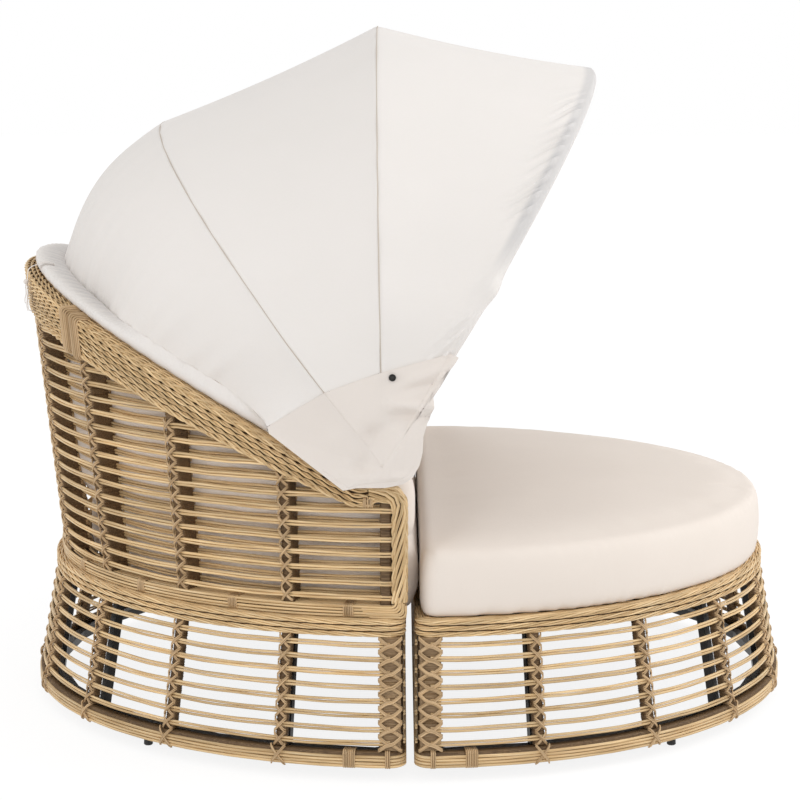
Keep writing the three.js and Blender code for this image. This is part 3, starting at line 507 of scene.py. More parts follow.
def tie(b, wall, turn, z, half_width, half_height, face=POST_FACE, sign=1, strands=2, middle=0.0, pinch=0.0):
    """Two bands of fine strands that cross over a rod on a post's face and dive in at its sides."""
    s = TIE_PLACES
    for band, lift in ((1, 0.0034), (-1, 0.0062)):
        for k in range(strands):
            shift = (k - (strands - 1) / 2) * 0.0036
            across = middle + half_width * np.clip(s, -1.1, 1.1)
            bend = np.clip(s, -1.1, 1.1) * (1 - pinch * bell(s, 0.55))
            up = band * half_height * bend * (0.95 + 0.1 * rng.random()) + shift * (1 - 0.4 * pinch)
            rise = lift * np.maximum(0, 1 - np.abs(s) ** 2.2) + 0.0014
            rise = np.where(np.abs(s) > 1, -0.0012 - 0.02 * (np.abs(s) - 1.08), rise)
            path = on_wall(wall, turn + turn_of(wall, turn, z, across), z + up, face + sign * rise)
            b.tube(path, TIE_RADIUS, outward(np.full(len(s), turn)), look=2)


def tie_middle(k):
    return TIE_SHIFT if 0 < k < 5 else -TIE_SHIFT if 5 < k < LAST_POST else 0.0


# Each panel's first and last bay line, and the posts that it holds
PANELS = {
    "right_front": (0, 2, (0, 1, 2)),
    "right_rear": (2, 4, (3, 4)),
    "rear": (4, 6, (5,)),
    "left_rear": (6, 8, (6, 7)),
    "left_front": (8, 10, (8, 9, 10)),
}
BASE_PITCH = (BRAID_BOTTOM - BOTTOM_RIM_TOP) / BASE_ROWS
BASE_LEVELS = BOTTOM_RIM_TOP + (np.arange(BASE_ROWS) + 0.5) * BASE_PITCH
BASE_SPAN = (BOTTOM_RIM_TOP - OVERRUN, BRAID_BOTTOM + OVERRUN)
BASE_CORNER_X = FLAT_X + FLAT_WALL_DEPTH + SEAT + CORNER_POST / 2
BACK_CORNER_X = FLAT_X + ARM_BAND + 0.0007 + POST_WIDTH / 2
ROD_OUT = -0.0006
ROD_STEP = math.radians(1.8)
BACK_ROD_STEP = math.radians(1.5)


def post_turn(wall, corner_x, k):
    """The turn of a post as a function of height. Corner posts keep their distance from the gap."""
    if k in (0, LAST_POST):
        return lambda z: sided(turn_at(wall, corner_x, z), k == LAST_POST)
    return lambda z: k * BAY + 0 * z


def panel_turns(first, last, near, step):
    """Turns across a panel's bays, which end by the corner posts."""
    a, b = max(first * BAY, near), min(last * BAY, math.pi - near)
    return np.linspace(a, b, max(2, int(round((b - a) / step)) + 1))


def base_panel(name, prefix, flip):
    first, last, posts = PANELS[name]
    b = Builder(flip)
    for k in posts:
        corner = k in (0, LAST_POST)
        wide = CORNER_POST if corner else POST_WIDTH
        turn = post_turn(BASE_WALL, BASE_CORNER_X, k)
        wound_post(b, BASE_WALL, turn, wide, POST_PROUD - BASE_POST_DEPTH, *BASE_SPAN, 3 if corner else 1)
        for z in BASE_LEVELS:
            at = float(turn(z))
            if corner:
                tie(b, BASE_WALL, at, z, wide * 0.47, BASE_PITCH * 0.45, strands=3, pinch=0.7)
            else:
                tie(b, BASE_WALL, at, z, TIE_HALF, BASE_PITCH * 0.42, middle=tie_middle(k))
    for z in BASE_LEVELS:
        near = turn_at(BASE_WALL, BASE_CORNER_X, z)
        rod(b, BASE_WALL, panel_turns(first, last, near, ROD_STEP), z, ROD_OUT)
    return b.finish(prefix + "lattice_" + name, WICKER, WOUND, TIES, CORNER,
                    node=prefix + "weave_" + name)


FLAT_FACE = -FLAT_X - SEAT - POST_PROUD
FLAT_POST_DEPTH = 0.018
FLAT_ROD_INSET = 0.024
FLAT_ROD_STEPS = 60


def flat_panel(prefix, flip):
    """The straight wall across a unit, with three posts."""
    b = Builder(flip)
    section, normals = rounded_box(
        POST_WIDTH - OVERRUN, FLAT_FACE - FLAT_POST_DEPTH, FLAT_FACE + 0.0005, EDGE
    )
    side = half_length(BASE_WALL, BASE_SPAN[0]) - SIDE_INSET - 0.020
    z, relief = windings(*BASE_SPAN)
    relief = relief[:, None]
    for share in (-0.5, 0.0, 0.5):
        y = share * side + section[:, 0] + relief * normals[:, 0]
        x = section[:, 1] + relief * normals[:, 1]
        b.rings(np.stack(np.broadcast_arrays(x, y, z[:, None]), axis=-1), look=1)
    for z in BASE_LEVELS:
        wide = half_length(BASE_WALL, z) - SIDE_INSET - FLAT_ROD_INSET
        y = np.linspace(-wide, wide, FLAT_ROD_STEPS)
        for sign in (-1, 1):
            up = sign * 1.02 * ROD_RADIUS + ripple(FLAT_ROD_STEPS, 20, 0.0006)
            b.tube(np.stack([0 * y + FLAT_FACE - ROD_RADIUS, y, z + up], axis=1), ROD_RADIUS)
    return b.finish(prefix + "lattice_flat", WICKER, WOUND, TIES, node=prefix + "weave_flat")


# Rims


def back_share(turn):
    start = ARM_FLAT / half_length(BACK_WALL, ARM_HEIGHT)
    return np.maximum(0.0, (np.sin(turn) - start) / (1 - start))


def rim_top(turn):
    return ARM_HEIGHT + (BACK_HEIGHT - ARM_HEIGHT) * back_share(turn)


def rim_band(turn):
    return ARM_RIM + (REAR_RIM - ARM_RIM) * back_share(turn) ** RIM_SWELL


def rim_low(turn):
    return rim_top(turn) - rim_band(turn)


D_CORNER = 0.030
D_POINTS = 720


def d_outline(half, flat, radius=D_CORNER, count=D_POINTS):
    """Evenly spaced points round a D with the outward direction and the distance at each."""
    start = math.asin((flat + radius) / half)
    wide = half - SIDE_INSET
    t = np.linspace(start, math.pi - start, 500)
    side = wide * math.cos(start)
    turn = np.linspace(0, math.pi / 2, 24)[1:]
    corner = np.stack([-flat - radius + radius * np.sin(turn), side - radius + radius * np.cos(turn)], axis=1)
    straight = np.linspace(side - radius, radius - side, 302)[1:-1]
    line = np.vstack([
        np.stack([-half * np.sin(t), -wide * np.cos(t)], axis=1),
        corner,
        np.stack([0 * straight - flat, straight], axis=1),
        (corner * [1, -1])[::-1],
    ])
    even, at, length = evenly(line, count)
    ahead, behind = neighbours(even, True)
    along = unit(ahead - behind)
    normal = np.stack([along[:, 1], -along[:, 0]], axis=1)
    if np.mean(np.sum(normal * (even - even.mean(axis=0)), axis=1)) < 0:
        normal = -normal
    return even, normal, at, length


def evenly(line, count):
    """Evenly spaced points round a closed line, with their distances and the length of it all."""
    line = np.vstack([line, line[:1]])
    far = distances(line)
    at = np.linspace(0, far[-1], count, endpoint=False)
    return np.stack([np.interp(at, far, line[:, i]) for i in (0, 1)], axis=1), at, far[-1]


def ring_path(outline, out, z):
    even, normal = outline[:2]
    out, z = np.broadcast_to(out, len(even)), np.broadcast_to(z, len(even))
    return np.column_stack([even + normal * out[:, None], z])


def ring_rope(b, outline, out, z, height, depth, turns, count, radius, phase):
    """Strands twisted round a line that goes round a unit."""
    at, length = outline[2:]
    for k in range(count):
        angle = phase - 2 * math.pi * (turns * at / length + k / count)
        path = ring_path(outline, out + depth * np.sin(angle), z + height * np.cos(angle))
        b.tube(path, radius, closed=True)


BRAID_ROW = 0.0126
BRAID_TWIST = 0.150


def top_braid(prefix, flip):
    """Three rows of waling round the top of a base, over a core painted dark as the shade between the
    strands.
    """
    b = Builder(flip)
    middle = (BRAID_BOTTOM + BASE_HEIGHT) / 2
    outline = d_outline(half_length(BASE_WALL, middle), FLAT_X + 0.009)
    section, _ = rounded_box(0.032, -0.0235, 0.0010, EDGE, 2)
    rings = [ring_path(outline, out, middle + up) for up, out in section]
    b.rings(np.stack(rings, axis=1), closed=True, look=1)
    turns = round(outline[3] / BRAID_TWIST)
    for row in (-1, 0, 1):
        z = middle + row * BRAID_ROW
        ring_rope(b, outline, 0.0026, z, 0.0033, 0.0030, turns, 4, 0.0022, 0.9 * row + 0.4)
    for j, out in enumerate((-0.0045, -0.0120, -0.0195)):
        ring_rope(b, outline, out, BASE_HEIGHT - 0.0036, 0.0011, 0.0024, turns, 2, 0.0024, j)
    for out in (-0.006, -0.013, -0.020):
        b.tube(ring_path(outline, out, BRAID_BOTTOM + 0.0028), 0.0028, closed=True)
    return b.finish(prefix + "plait", WICKER, SHADE_CORE, node=prefix + "top_braid")


def wrap(b, path, radius):
    """One strand wound round a bundle."""
    b.tube(path, radius, np.cross(path[1] - path[0], path[0] - path.mean(axis=0)), closed=True, look=2)


def cuff(b, wall, turn, middle, section, width, count):
    """A few wraps side by side round a bundle that lies along a wall."""
    for i in range(count):
        shift = (i - (count - 1) / 2) * width / count
        at = turn + turn_of(wall, turn, middle, shift)
        wrap(b, on_wall(wall, at, middle + section[:, 0], section[:, 1]), TIE_RADIUS * 1.05)


CUFF_EDGE = 0.008
WIDE_CUFF, NARROW_CUFF = (0.026, 7), (0.011, 3)  # width and number of wraps
RIM_STRAND = 0.0033
RIM_FACE = 0.0055
RIM_BACK = 0.0240
WOUND_STEPS = 2100


def bottom_rim(prefix, flip):
    """A bundle of strands round the foot of a base over a wound core, tied to every post."""
    b = Builder(flip)
    middle = (FOOT_HEIGHT + BOTTOM_RIM_TOP) / 2
    height = BOTTOM_RIM_TOP - FOOT_HEIGHT
    half, flat = half_length(BASE_WALL, middle), FLAT_X + 0.006
    outline = d_outline(half, flat, count=WOUND_STEPS)
    section, normals = rounded_box(height - 0.003, -0.0215, 0.0022, EDGE, 2)
    relief = np.where(np.arange(WOUND_STEPS) % 2, 0.0, -0.0011)
    rings = [ring_path(outline, out + relief * n[1], middle + up + relief * n[0])
             for (up, out), n in zip(section, normals)]
    b.rings(np.stack(rings, axis=1), closed=True, look=1)
    outline = d_outline(half, flat)
    radius, lowest = RIM_STRAND, RIM_STRAND + 0.0001 - height / 2
    places = [(RIM_FACE - radius, lowest + 2.02 * radius * i) for i in range(4)]
    places += [(RIM_FACE - radius * (2 * j + 3), lowest) for j in range(3)]
    places += [(radius - RIM_BACK, radius - height / 2 + 2.02 * radius * i) for i in range(3)]
    for out, up in places:
        drift = ripple(D_POINTS, 40 * math.pi, 0.0004)
        drift = np.abs(drift) if up < -height / 3 else drift
        b.tube(ring_path(outline, out, middle + up + drift), radius, closed=True)
    wall = (middle - 1, middle + 1, half, half)
    for k in range(1, LAST_POST):
        tie(b, wall, k * BAY, middle + 0.001, 0.0135, 0.0170, 0.0052, middle=tie_middle(k))
    loop, _ = rounded_box(height + 0.0008, -RIM_BACK - 0.0004, RIM_FACE + 0.0004, CUFF_EDGE)
    for bays, cuff_size in ((0.46, WIDE_CUFF), (0.17, NARROW_CUFF), (9.54, WIDE_CUFF), (9.83, NARROW_CUFF)):
        cuff(b, wall, bays * BAY, middle, loop, *cuff_size)
    return b.finish(prefix + "bound_rim", WICKER, WOUND, TIES, node=prefix + "bottom_rim")


RAIL_STRAND = 0.0030
RAIL_ROWS = (-0.0103, -0.0037, 0.0037, 0.0103)
RAIL_PITCH = 0.0075
RAIL_STEPS = 200


def back_rail():
    """Four long strands over a core painted dark as the shade between them, bound in the middle of every bay
    and by the corners.
    """
    b = Builder()
    middle, height = (RAIL_BOTTOM + RAIL_TOP) / 2, RAIL_TOP - RAIL_BOTTOM
    start = float(turn_at(BACK_WALL, FLAT_X + 0.001, middle))
    turns = np.linspace(start, math.pi - start, RAIL_STEPS)
    section, _ = rounded_box(height - 0.004, -RIM_DEPTH + 0.003, 0.001, EDGE, 2)
    rings = [on_wall(BACK_WALL, turns, middle + up, out) for up, out in section]
    b.rings(np.stack(rings, axis=1), look=1, turned=True)
    edge = height / 2 - RAIL_STRAND
    places = [(out, up) for out in (0.006 - RAIL_STRAND, RAIL_STRAND - RIM_DEPTH) for up in RAIL_ROWS]
    places += [(-RAIL_PITCH * (j + 1), up) for up in (edge, -edge) for j in range(4)]
    for out, up in places:
        drift = ripple(RAIL_STEPS, 40, 0.0004)
        b.tube(on_wall(BACK_WALL, turns, middle + up + drift, out), RAIL_STRAND)
    loop, _ = rounded_box(height + 0.0004, -RIM_DEPTH - 0.0002, 0.0062, CUFF_EDGE)
    cuffs = [(k + 0.5, (0.022, 6)) for k in range(LAST_POST)]
    for bays, cuff_size in cuffs + [(0.12, NARROW_CUFF), (9.88, NARROW_CUFF)]:
        cuff(b, BACK_WALL, bays * BAY, middle, loop, *cuff_size)
    return b.finish("back_rail_bundle", WICKER, SHADE_CORE, TIES, node="backrest_rail")


def back_panel(name):
    first, last, posts = PANELS[name]
    b = Builder()
    inner = POST_PROUD - BACK_POST_DEPTH
    levels = np.arange(RAIL_TOP + BACK_PITCH / 2, BACK_HEIGHT - REAR_RIM, BACK_PITCH)
    for k in posts:
        turn = post_turn(BACK_WALL, BACK_CORNER_X, k)
        corner = k in (0, LAST_POST)
        top = ARM_HEIGHT - ARM_BAND if corner else float(rim_low(k * BAY)) + 0.004
        wound_post(b, BACK_WALL, turn, POST_WIDTH, inner, RAIL_TOP - OVERRUN, top)
        if corner:
            continue
        for z in levels[levels < top - BACK_PITCH * 0.3]:
            tie(b, BACK_WALL, k * BAY, z, TIE_HALF, BACK_PITCH * 0.40, middle=tie_middle(k))
            tie(b, BACK_WALL, k * BAY, z, TIE_HALF, BACK_PITCH * 0.40, inner + 0.001, sign=-1)
    for z in levels:
        near = float(turn_at(BACK_WALL, BACK_CORNER_X - 0.02, z))
        turns = panel_turns(first, last, near, BACK_ROD_STEP)
        turns = turns[rim_low(turns) > z - 0.008]
        if len(turns) > 2:
            rod(b, BACK_WALL, turns, z, ROD_OUT)
            rod(b, BACK_WALL, turns, z, inner + 0.0030)
    return b.finish("backrest_lattice_" + name, WICKER, WOUND, TIES, node="backrest_weave_" + name)


def sloped(degrees):
    """Stations of the rim: for a distance from its top edge, each gives a turn and a height."""
    return [(float(rim_band(turn)), lambda d, turn=turn: (turn, float(rim_top(turn)) - d))
            for turn in np.radians(degrees)]


def rim_stations():
    """The right side of the back's rim, from the collar round the arm's corner to the rail."""
    rows = sloped(np.arange(56.0, 3.7, -0.75))
    centre_x, centre_z = FLAT_X + ARM_CORNER, ARM_HEIGHT - ARM_CORNER
    for angle in np.radians(np.arange(88, -1, -8.0)):
        def bend(d, angle=angle):
            r = ARM_CORNER - d
            z = centre_z + r * math.sin(angle)
            return float(turn_at(BACK_WALL, centre_x - r * math.cos(angle), z)), z
        rows.append((ARM_RIM, bend))
    for z in np.arange(centre_z - 0.012, RAIL_TOP - 0.002, -0.012):
        rows.append((ARM_RIM, lambda d, z=z: (float(turn_at(BACK_WALL, FLAT_X + d, z)), z)))
    return rows


def rope(b, path, outs, ups, height, depth, pitch, count, radius, phase):
    """Fine strands twisted round a path, flattened to a height along ups and a depth along outs."""
    far = distances(path)
    fine = np.arange(0, far[-1], pitch / 12)
    sample = lambda values: np.stack([np.interp(fine, far, values[:, i]) for i in range(3)], axis=1)
    centre, out, up = sample(path), unit(sample(outs)), unit(sample(ups))
    for k in range(count):
        angle = 2 * math.pi * (fine / pitch + k / count) + phase
        line = centre + out * (depth * np.sin(angle))[:, None] + up * (height * np.cos(angle))[:, None]
        b.tube(line, radius, out)


ROW_PITCH = 0.0112  # rows of rope on the rim's faces
TOP_PITCH = 0.0105  # and on its top
ROW_TWIST = 0.062
ROW_STRAND = 0.0023
ROW_INSET = 0.0028

# Height, depth, pitch, count and radius of a rope's strands, and their phase
ARM_ROPE = (0.0112, 0.0032, 0.210, 7, 0.0038, 0.4)
EDGE_ROPE = (0.0024, 0.0024, 0.05, 2, 0.0026, 0.0)


def rim_rows(b, rows, mirror, faced):
    """Twisted rows along the rim's top, and on both faces as far as a count of stations, over a
    core. The faces beyond it have a broad flat rope."""
    def point(station, d, out):
        turn, z = station(d)
        return on_wall(BACK_WALL, sided(turn, mirror), z, out)

    def lines(part, d, out, sink=0.0, step=0.002):
        """A line at a distance from the top edge, with its directions outwards and up."""
        path = [point(s, d, out - sink) for _, s in part]
        outs = [outward(sided(s(0)[0], mirror)) for _, s in part]
        ups = [point(s, d - step, out) - point(s, d, out) for _, s in part]
        return np.array(path), np.array(outs), np.array(ups)

    rows = [(band if i < faced else ARM_BAND, station) for i, (band, station) in enumerate(rows)]
    core = []
    for i, (band, station) in enumerate(rows):
        cover = 0.0065 if i < faced else 0.0040
        inner, outer = -RIM_DEPTH + cover, RIM_PROUD - cover
        ends = ((0.005, inner), (0.005, outer), (band - 0.005, outer), (band - 0.005, inner))
        core.append([point(station, d, out) for d, out in ends])
    # The core is painted near black as the shade between the rows
    b.rings(core, look=1, turned=mirror)
    for out in (RIM_PROUD - ROW_INSET, -RIM_DEPTH + ROW_INSET):
        for d in np.arange(ROW_PITCH / 2, REAR_RIM, ROW_PITCH):
            part = [(band, s) for band, s in rows[:faced] if band > d + 0.002]
            if len(part) > 2:
                rope(b, *lines(part, d, out), 0.0028, 0.0024, ROW_TWIST, 2, ROW_STRAND, any_phase())
        arm = rows[faced - 1:]
        if arm[1:]:
            path, outs, ups = lines(arm, ARM_BAND / 2, out, 0.0026)
            rope(b, path, outs, -ups if mirror else ups, *ARM_ROPE)
    edge = np.array([point(s, band - 0.003, RIM_PROUD - 0.003) for band, s in rows])
    _, outs, ups = lines(rows, 0.004, 0.0, step=0.004)
    rope(b, edge, outs, ups, *EDGE_ROPE)
    for j in range(5):
        path = np.array([point(s, 0.0026, RIM_PROUD - 0.007 - j * TOP_PITCH) for _, s in rows])
        rope(b, path, ups, outs, 0.0029, 0.0026, ROW_TWIST, 2, ROW_STRAND, any_phase())


def wraps(b, turn, mirror, span, width, count, radius, swell):
    """Strands wound round the rim, or round a span of it, measured down from its top edge."""
    for i in range(count):
        part = -math.cos(math.pi * (i + 0.5) / count)
        at = turn + float(turn_of(BACK_WALL, turn, BACK_HEIGHT, part * width / 2))
        high, low = span or (0.0, float(rim_band(at)))
        own = swell * math.sqrt(1 - part ** 2)
        inner = RIM_DEPTH if span is None else 0.004
        points, _ = rounded_box(low - high + 2 * own, -inner - own, RIM_PROUD + own, 0.009, 5)
        up = float(rim_top(at)) - (high + low) / 2 + points[:, 0]
        wrap(b, on_wall(BACK_WALL, sided(at, mirror), up, points[:, 1]), radius)


def collar(b, turn, mirror):
    """Two rolled bindings round the rim, side by side, and a small one on the arm."""
    for shift in (-0.019, 0.021):
        at = turn + float(turn_of(BACK_WALL, turn, BACK_HEIGHT, shift))
        wraps(b, at, mirror, None, 0.0290, 8, 0.0022, 0.0075)
    arm = float(turn_at(BACK_WALL, 0.086, ARM_HEIGHT))
    wraps(b, arm, mirror, (0.020, ARM_RIM + 0.001), 0.018, 5, 0.0021, 0.0012)


# How far behind the arm's front edge each outer pair of strands runs, and its height in the rail
TAILS = (
    (0.0045, RAIL_BOTTOM + 0.0040), (0.0120, RAIL_BOTTOM + 0.0115), (0.0195, RAIL_TOP - 0.0060),
)
TAIL_BEND = 0.012
TAIL_HALF = 0.0024


def arm_tails(b, mirror):
    """The rim's outer strands turn into the back's rail at the foot of the arm's front edge."""
    r, out = TAIL_BEND, RIM_PROUD - 0.0010
    for d, target in TAILS:
        for side in (-TAIL_HALF, TAIL_HALF):
            x, down = FLAT_X + d + side, target + side
            line = [(x, z, RIM_PROUD - TAIL_HALF) for z in np.linspace(down + r + 0.014, down + r, 3)]
            line += [(x + r - r * math.cos(a), down + r - r * math.sin(a), out)
                     for a in np.radians(np.arange(15, 91, 15.0))]
            line += [(x + r + far, down, out - 0.004 * (far / 0.06) ** 2)
                     for far in np.linspace(0.008, 0.064, 8)]
            x, z, outs = np.array(line).T
            path = on_wall(BACK_WALL, sided(turn_at(BACK_WALL, x, z, outs), mirror), z, outs)
            b.tube(path, 0.0026, outward(sided(0.0, mirror)))


def side_rim(name, mirror):
    b = Builder()
    rows = rim_stations()
    cuff_turn = float(turn_at(BACK_WALL, 0.088, ARM_HEIGHT))
    rim_rows(b, rows, mirror, sum(station(0)[0] > cuff_turn for _, station in rows) + 1)
    collar(b, COLLAR_TURN, mirror)
    arm_tails(b, mirror)
    return b.finish("back_rim_weave_" + name, WICKER, SHADE_CORE, TIES, node="backrest_rim_" + name)


def rear_rim():
    b = Builder()
    rows = sloped(np.arange(58.5, 121.6, 0.75))
    rim_rows(b, rows, False, len(rows))
    return b.finish("back_rim_weave_rear", WICKER, SHADE_CORE, TIES, node="backrest_rim_rear")


def woven_work():
    for prefix, flip, body in (("seat_base_", False, "loveseat"), ("ottoman_", True, "ottoman")):
        for panel in PANELS:
            dress(base_panel(panel, prefix, flip), body)
        dress(flat_panel(prefix, flip), body)
        dress(top_braid(prefix, flip), body)
        dress(bottom_rim(prefix, flip), body)
    dress(back_rail(), "loveseat")
    for panel in PANELS:
        dress(back_panel(panel), "loveseat")
    for made in (side_rim("right", False), side_rim("left", True), rear_rim()):
        dress(made, "loveseat")


# Canopy. A bow is a flat arch that hinges on the pivot line. Its angle is measured from +X.
BRACKET_SIDE = half_length(BACK_WALL, ARM_HEIGHT) - SIDE_INSET - 0.040
HUB_RADIUS = 0.011
HUB_LENGTH = 0.0192
HUB_GAP = 0.0004
HUB_EDGE = 0.001
BOLT_RADIUS = 0.004
BOW_RADIUS = 0.0095
BOW_POWER = 2 / 2.3
BOW_HALF_WIDTH = BRACKET_SIDE + 3 * (HUB_LENGTH + HUB_GAP) + 0.0143
LEG_FLARE = 0.018
CLOTH_LIFT = 0.0134  # the cloth's outer face above a bow's centre line
CLOTH = 0.0022
SEAM_GAP = 0.0004
SAG = 0.008
CANOPY_CENTRE = PIVOT + [0, 0, BOW_HALF_WIDTH / 4]
HEM_INSET = 0.030
HEM_TURN = math.radians(20.6)
PLEAT = 0.0095
DOME = 0.043  # how far the rear panel domes out at the back

# The hem's ruffle from the rod to the panel, as inset from the wall and height over the rim
RUFFLE = [(0.0300, 0.0036), (0.0215, 0.0066), (0.0190, 0.0140), (0.0222, 0.0216), (0.0300, 0.0246),
          (0.0420, 0.0236), (0.0560, 0.0204), (0.0700, 0.0160), (0.0800, 0.0118), (0.0860, 0.0085)]
SIDE_RUFFLE = [(0.0300, 0.0036), (0.0222, 0.0066), (0.0192, 0.0130), (0.0194, 0.0200), (0.0216, 0.0262),
               (0.0246, 0.0310), (0.0274, 0.0350), (0.0298, 0.0386), (0.0316, 0.0420), (0.0330, 0.0452)]


class Bow:
    def __init__(self, angle, reach, seam, place):
        self.angle, self.reach = math.radians(angle), reach
        self.start = self.turn_of_reach(seam)
        self.hub = BRACKET_SIDE + HUB_GAP + HUB_LENGTH / 2 + place * (HUB_LENGTH + HUB_GAP)

    def turn_of_reach(self, reach):
        return math.asin((reach / self.reach) ** (1 / BOW_POWER))

    def centre(self, turn):
        """Reach from the pivot line and signed side of the centre line."""
        reach = self.reach * np.sin(turn) ** BOW_POWER
        wide = BOW_HALF_WIDTH * np.abs(np.cos(turn)) ** BOW_POWER
        leg = self.hub + LEG_FLARE * smoothstep(reach, HUB_RADIUS, 0.190)
        side = leg + (wide - leg) * smoothstep(reach, 0.220, 0.420)
        return reach, -np.sign(np.cos(turn)) * side

    def frame(self, turn):
        """Points of the centre line with the directions out of the arch and forwards."""
        r0, y0 = self.centre(turn - 1e-3)
        r1, y1 = self.centre(turn + 1e-3)
        long = np.hypot(r1 - r0, y1 - y0)
        reach, side = self.centre(turn)
        away = np.array([math.cos(self.angle), 0, math.sin(self.angle)])
        ahead = np.array([math.sin(self.angle), 0, -math.cos(self.angle)])
        point = PIVOT + reach[:, None] * away + side[:, None] * SIDEWAYS
        out = ((y1 - y0) / long)[:, None] * away - ((r1 - r0) / long)[:, None] * SIDEWAYS
        return point, out, ahead

    def turns(self, share):
        """Turns along the cloth's seam, from its right end at a share of 0 to the left one."""
        return self.start + share * (math.pi - 2 * self.start)

    def seam(self, share, lift=CLOTH_LIFT, ahead=0.0):
        """The cloth's line over the bow."""
        point, out, forward = self.frame(self.turns(share))
        return point + lift * out + ahead * forward


# Angle in degrees, reach, where the seam starts, and place among the bushes on each bolt
REAR_BOW = Bow(127.8, 0.820, 0.190, 2)
MIDDLE_BOW = Bow(91.1, 0.863, 0.188, 1)
FRONT_BOW = Bow(58.8, 0.899, 0.262, 0)
BOWS = {"rear": REAR_BOW, "middle": MIDDLE_BOW, "front": FRONT_BOW}


def bow_piece(name, bow):
    """A round tube with a bush on each end."""
    b = Builder()
    first, low = bow.turn_of_reach(HUB_RADIUS / 2), bow.turn_of_reach(0.4)
    turns = np.concatenate([
        np.linspace(first, low, 40), np.linspace(low, math.pi - low, 90)[1:-1],
        math.pi - np.linspace(low, first, 40),
    ])
    point, out, ahead = bow.frame(turns)
    angle = (2 * math.pi * (np.arange(16) + 0.5) / 16)[None, :, None]
    b.rings(point[:, None] + BOW_RADIUS * (np.cos(angle) * out[:, None] + np.sin(angle) * ahead))
    bore, rim = BOLT_RADIUS + 0.0003, HUB_RADIUS - HUB_EDGE
    profile = [(bore, -0.5), (rim, -0.5), (HUB_RADIUS, -0.45), (HUB_RADIUS, 0.45), (rim, 0.5), (bore, 0.5)]
    around = 2 * math.pi * np.arange(32) / 32
    for sign in (-1, 1):
        rings = [
            PIVOT + np.stack([r * np.cos(around), sign * bow.hub + 0 * around + s * HUB_LENGTH,
                              r * np.sin(around)], axis=1)
            for r, s in profile
        ]
        b.rings(rings, closed=True)
    return b.finish(name + "_tube", STEEL, node=name)


def faces_in(grid):
    return bool(np.sum(grid_normal(grid) * (grid - CANOPY_CENTRE)) < 0)


def raised(grid, lift):
    sign = -1 if faces_in(grid) else 1
    return grid + sign * grid_normal(grid) * np.asarray(lift)[..., None]


def cloth_piece(name, grid, thickness=CLOTH, painted_shade=None, node=None):
    """A sheet of canopy cloth, with per-point values that grey its colour as painted shade."""
    b = Builder()
    b.sheet(grid, thickness, turned=faces_in(grid))
    made = b.finish(name, CANOPY, node=node)
    # Painted shade: per-point values that grey the cloth's colour
    if painted_shade is not None:
        values = made.data.attributes.new("painted_shade", "FLOAT", "POINT")
        values.data.foreach_set("value", np.tile(painted_shade.ravel(), 2).astype(np.float32))
    return made


def spread(a, b, share, sag=SAG):
    """Taut cloth between two lines of points, with a little sag towards the canopy's centre."""
    share = share[:, None, None]
    grid = a[None] * (1 - share) + b[None] * share
    ends = smoothstep(0.5 - np.abs(np.linspace(-0.5, 0.5, len(a))), 0.0, 0.08)[None, :, None]
    return grid + unit(CANOPY_CENTRE - grid) * (sag * 4 * share * (1 - share)) * ends


def seam_dip(far):
    """The last few millimetres of a panel dip into its seam."""
    return -0.0016 * bell(far, 0.004)


def dense_ends(count, fine):
    """Shares from 0 to 1 with closer steps near both ends."""
    ends = np.array([0, 0.2, 0.4, 0.7]) * fine
    return np.concatenate([ends, np.linspace(fine, 1 - fine, count), 1 - ends[::-1]])


def soft_puckers(q, share, depth, count, phase):
    """Small puckers where the cloth pulls on its seams."""
    edge = np.exp(-np.minimum(share, 1 - share)[:, None] / 0.10)
    wave = np.sin(count * q[None] + 2.1 * np.sin(0.37 * count * q[None] + phase) + 3 * share[:, None])
    return depth * edge * wave


def hem_places(q):
    """Turns, pleats' phase and nearness to the sides along the rear hem."""
    turns = HEM_TURN + q * (math.pi - 2 * HEM_TURN)
    far = distances(on_wall(BACK_WALL, turns, rim_top(turns), -HEM_INSET))
    phase = 2 * math.pi * far / PLEAT + 1.3 * np.sin(far * 31) + 0.9 * np.sin(far * 83 + 1)
    return turns, phase, smoothstep(np.abs(q - 0.5), 0.22, 0.36)


def pleats(phase):
    return np.abs(np.sin(phase / 2)) ** 0.8


def hem_line(q):
    """Where the rear panel starts."""
    turns, _, side = hem_places(q)
    inset, up = (RUFFLE[-1][i] * (1 - side) + SIDE_RUFFLE[-1][i] * side for i in (0, 1))
    line = on_wall(BACK_WALL, turns, rim_top(turns) + up, -inset)
    for end, sign in ((0, -1), (1, 1)):
        corner = PIVOT + [FLAP_HEM_END[0], sign * FLAP_HEM_END[2], FLAP_HEM_END[1]]
        near = (1 - smoothstep(np.abs(q - end), 0.0, 0.05))[:, None]
        line = line * (1 - near) + corner * near
    return line


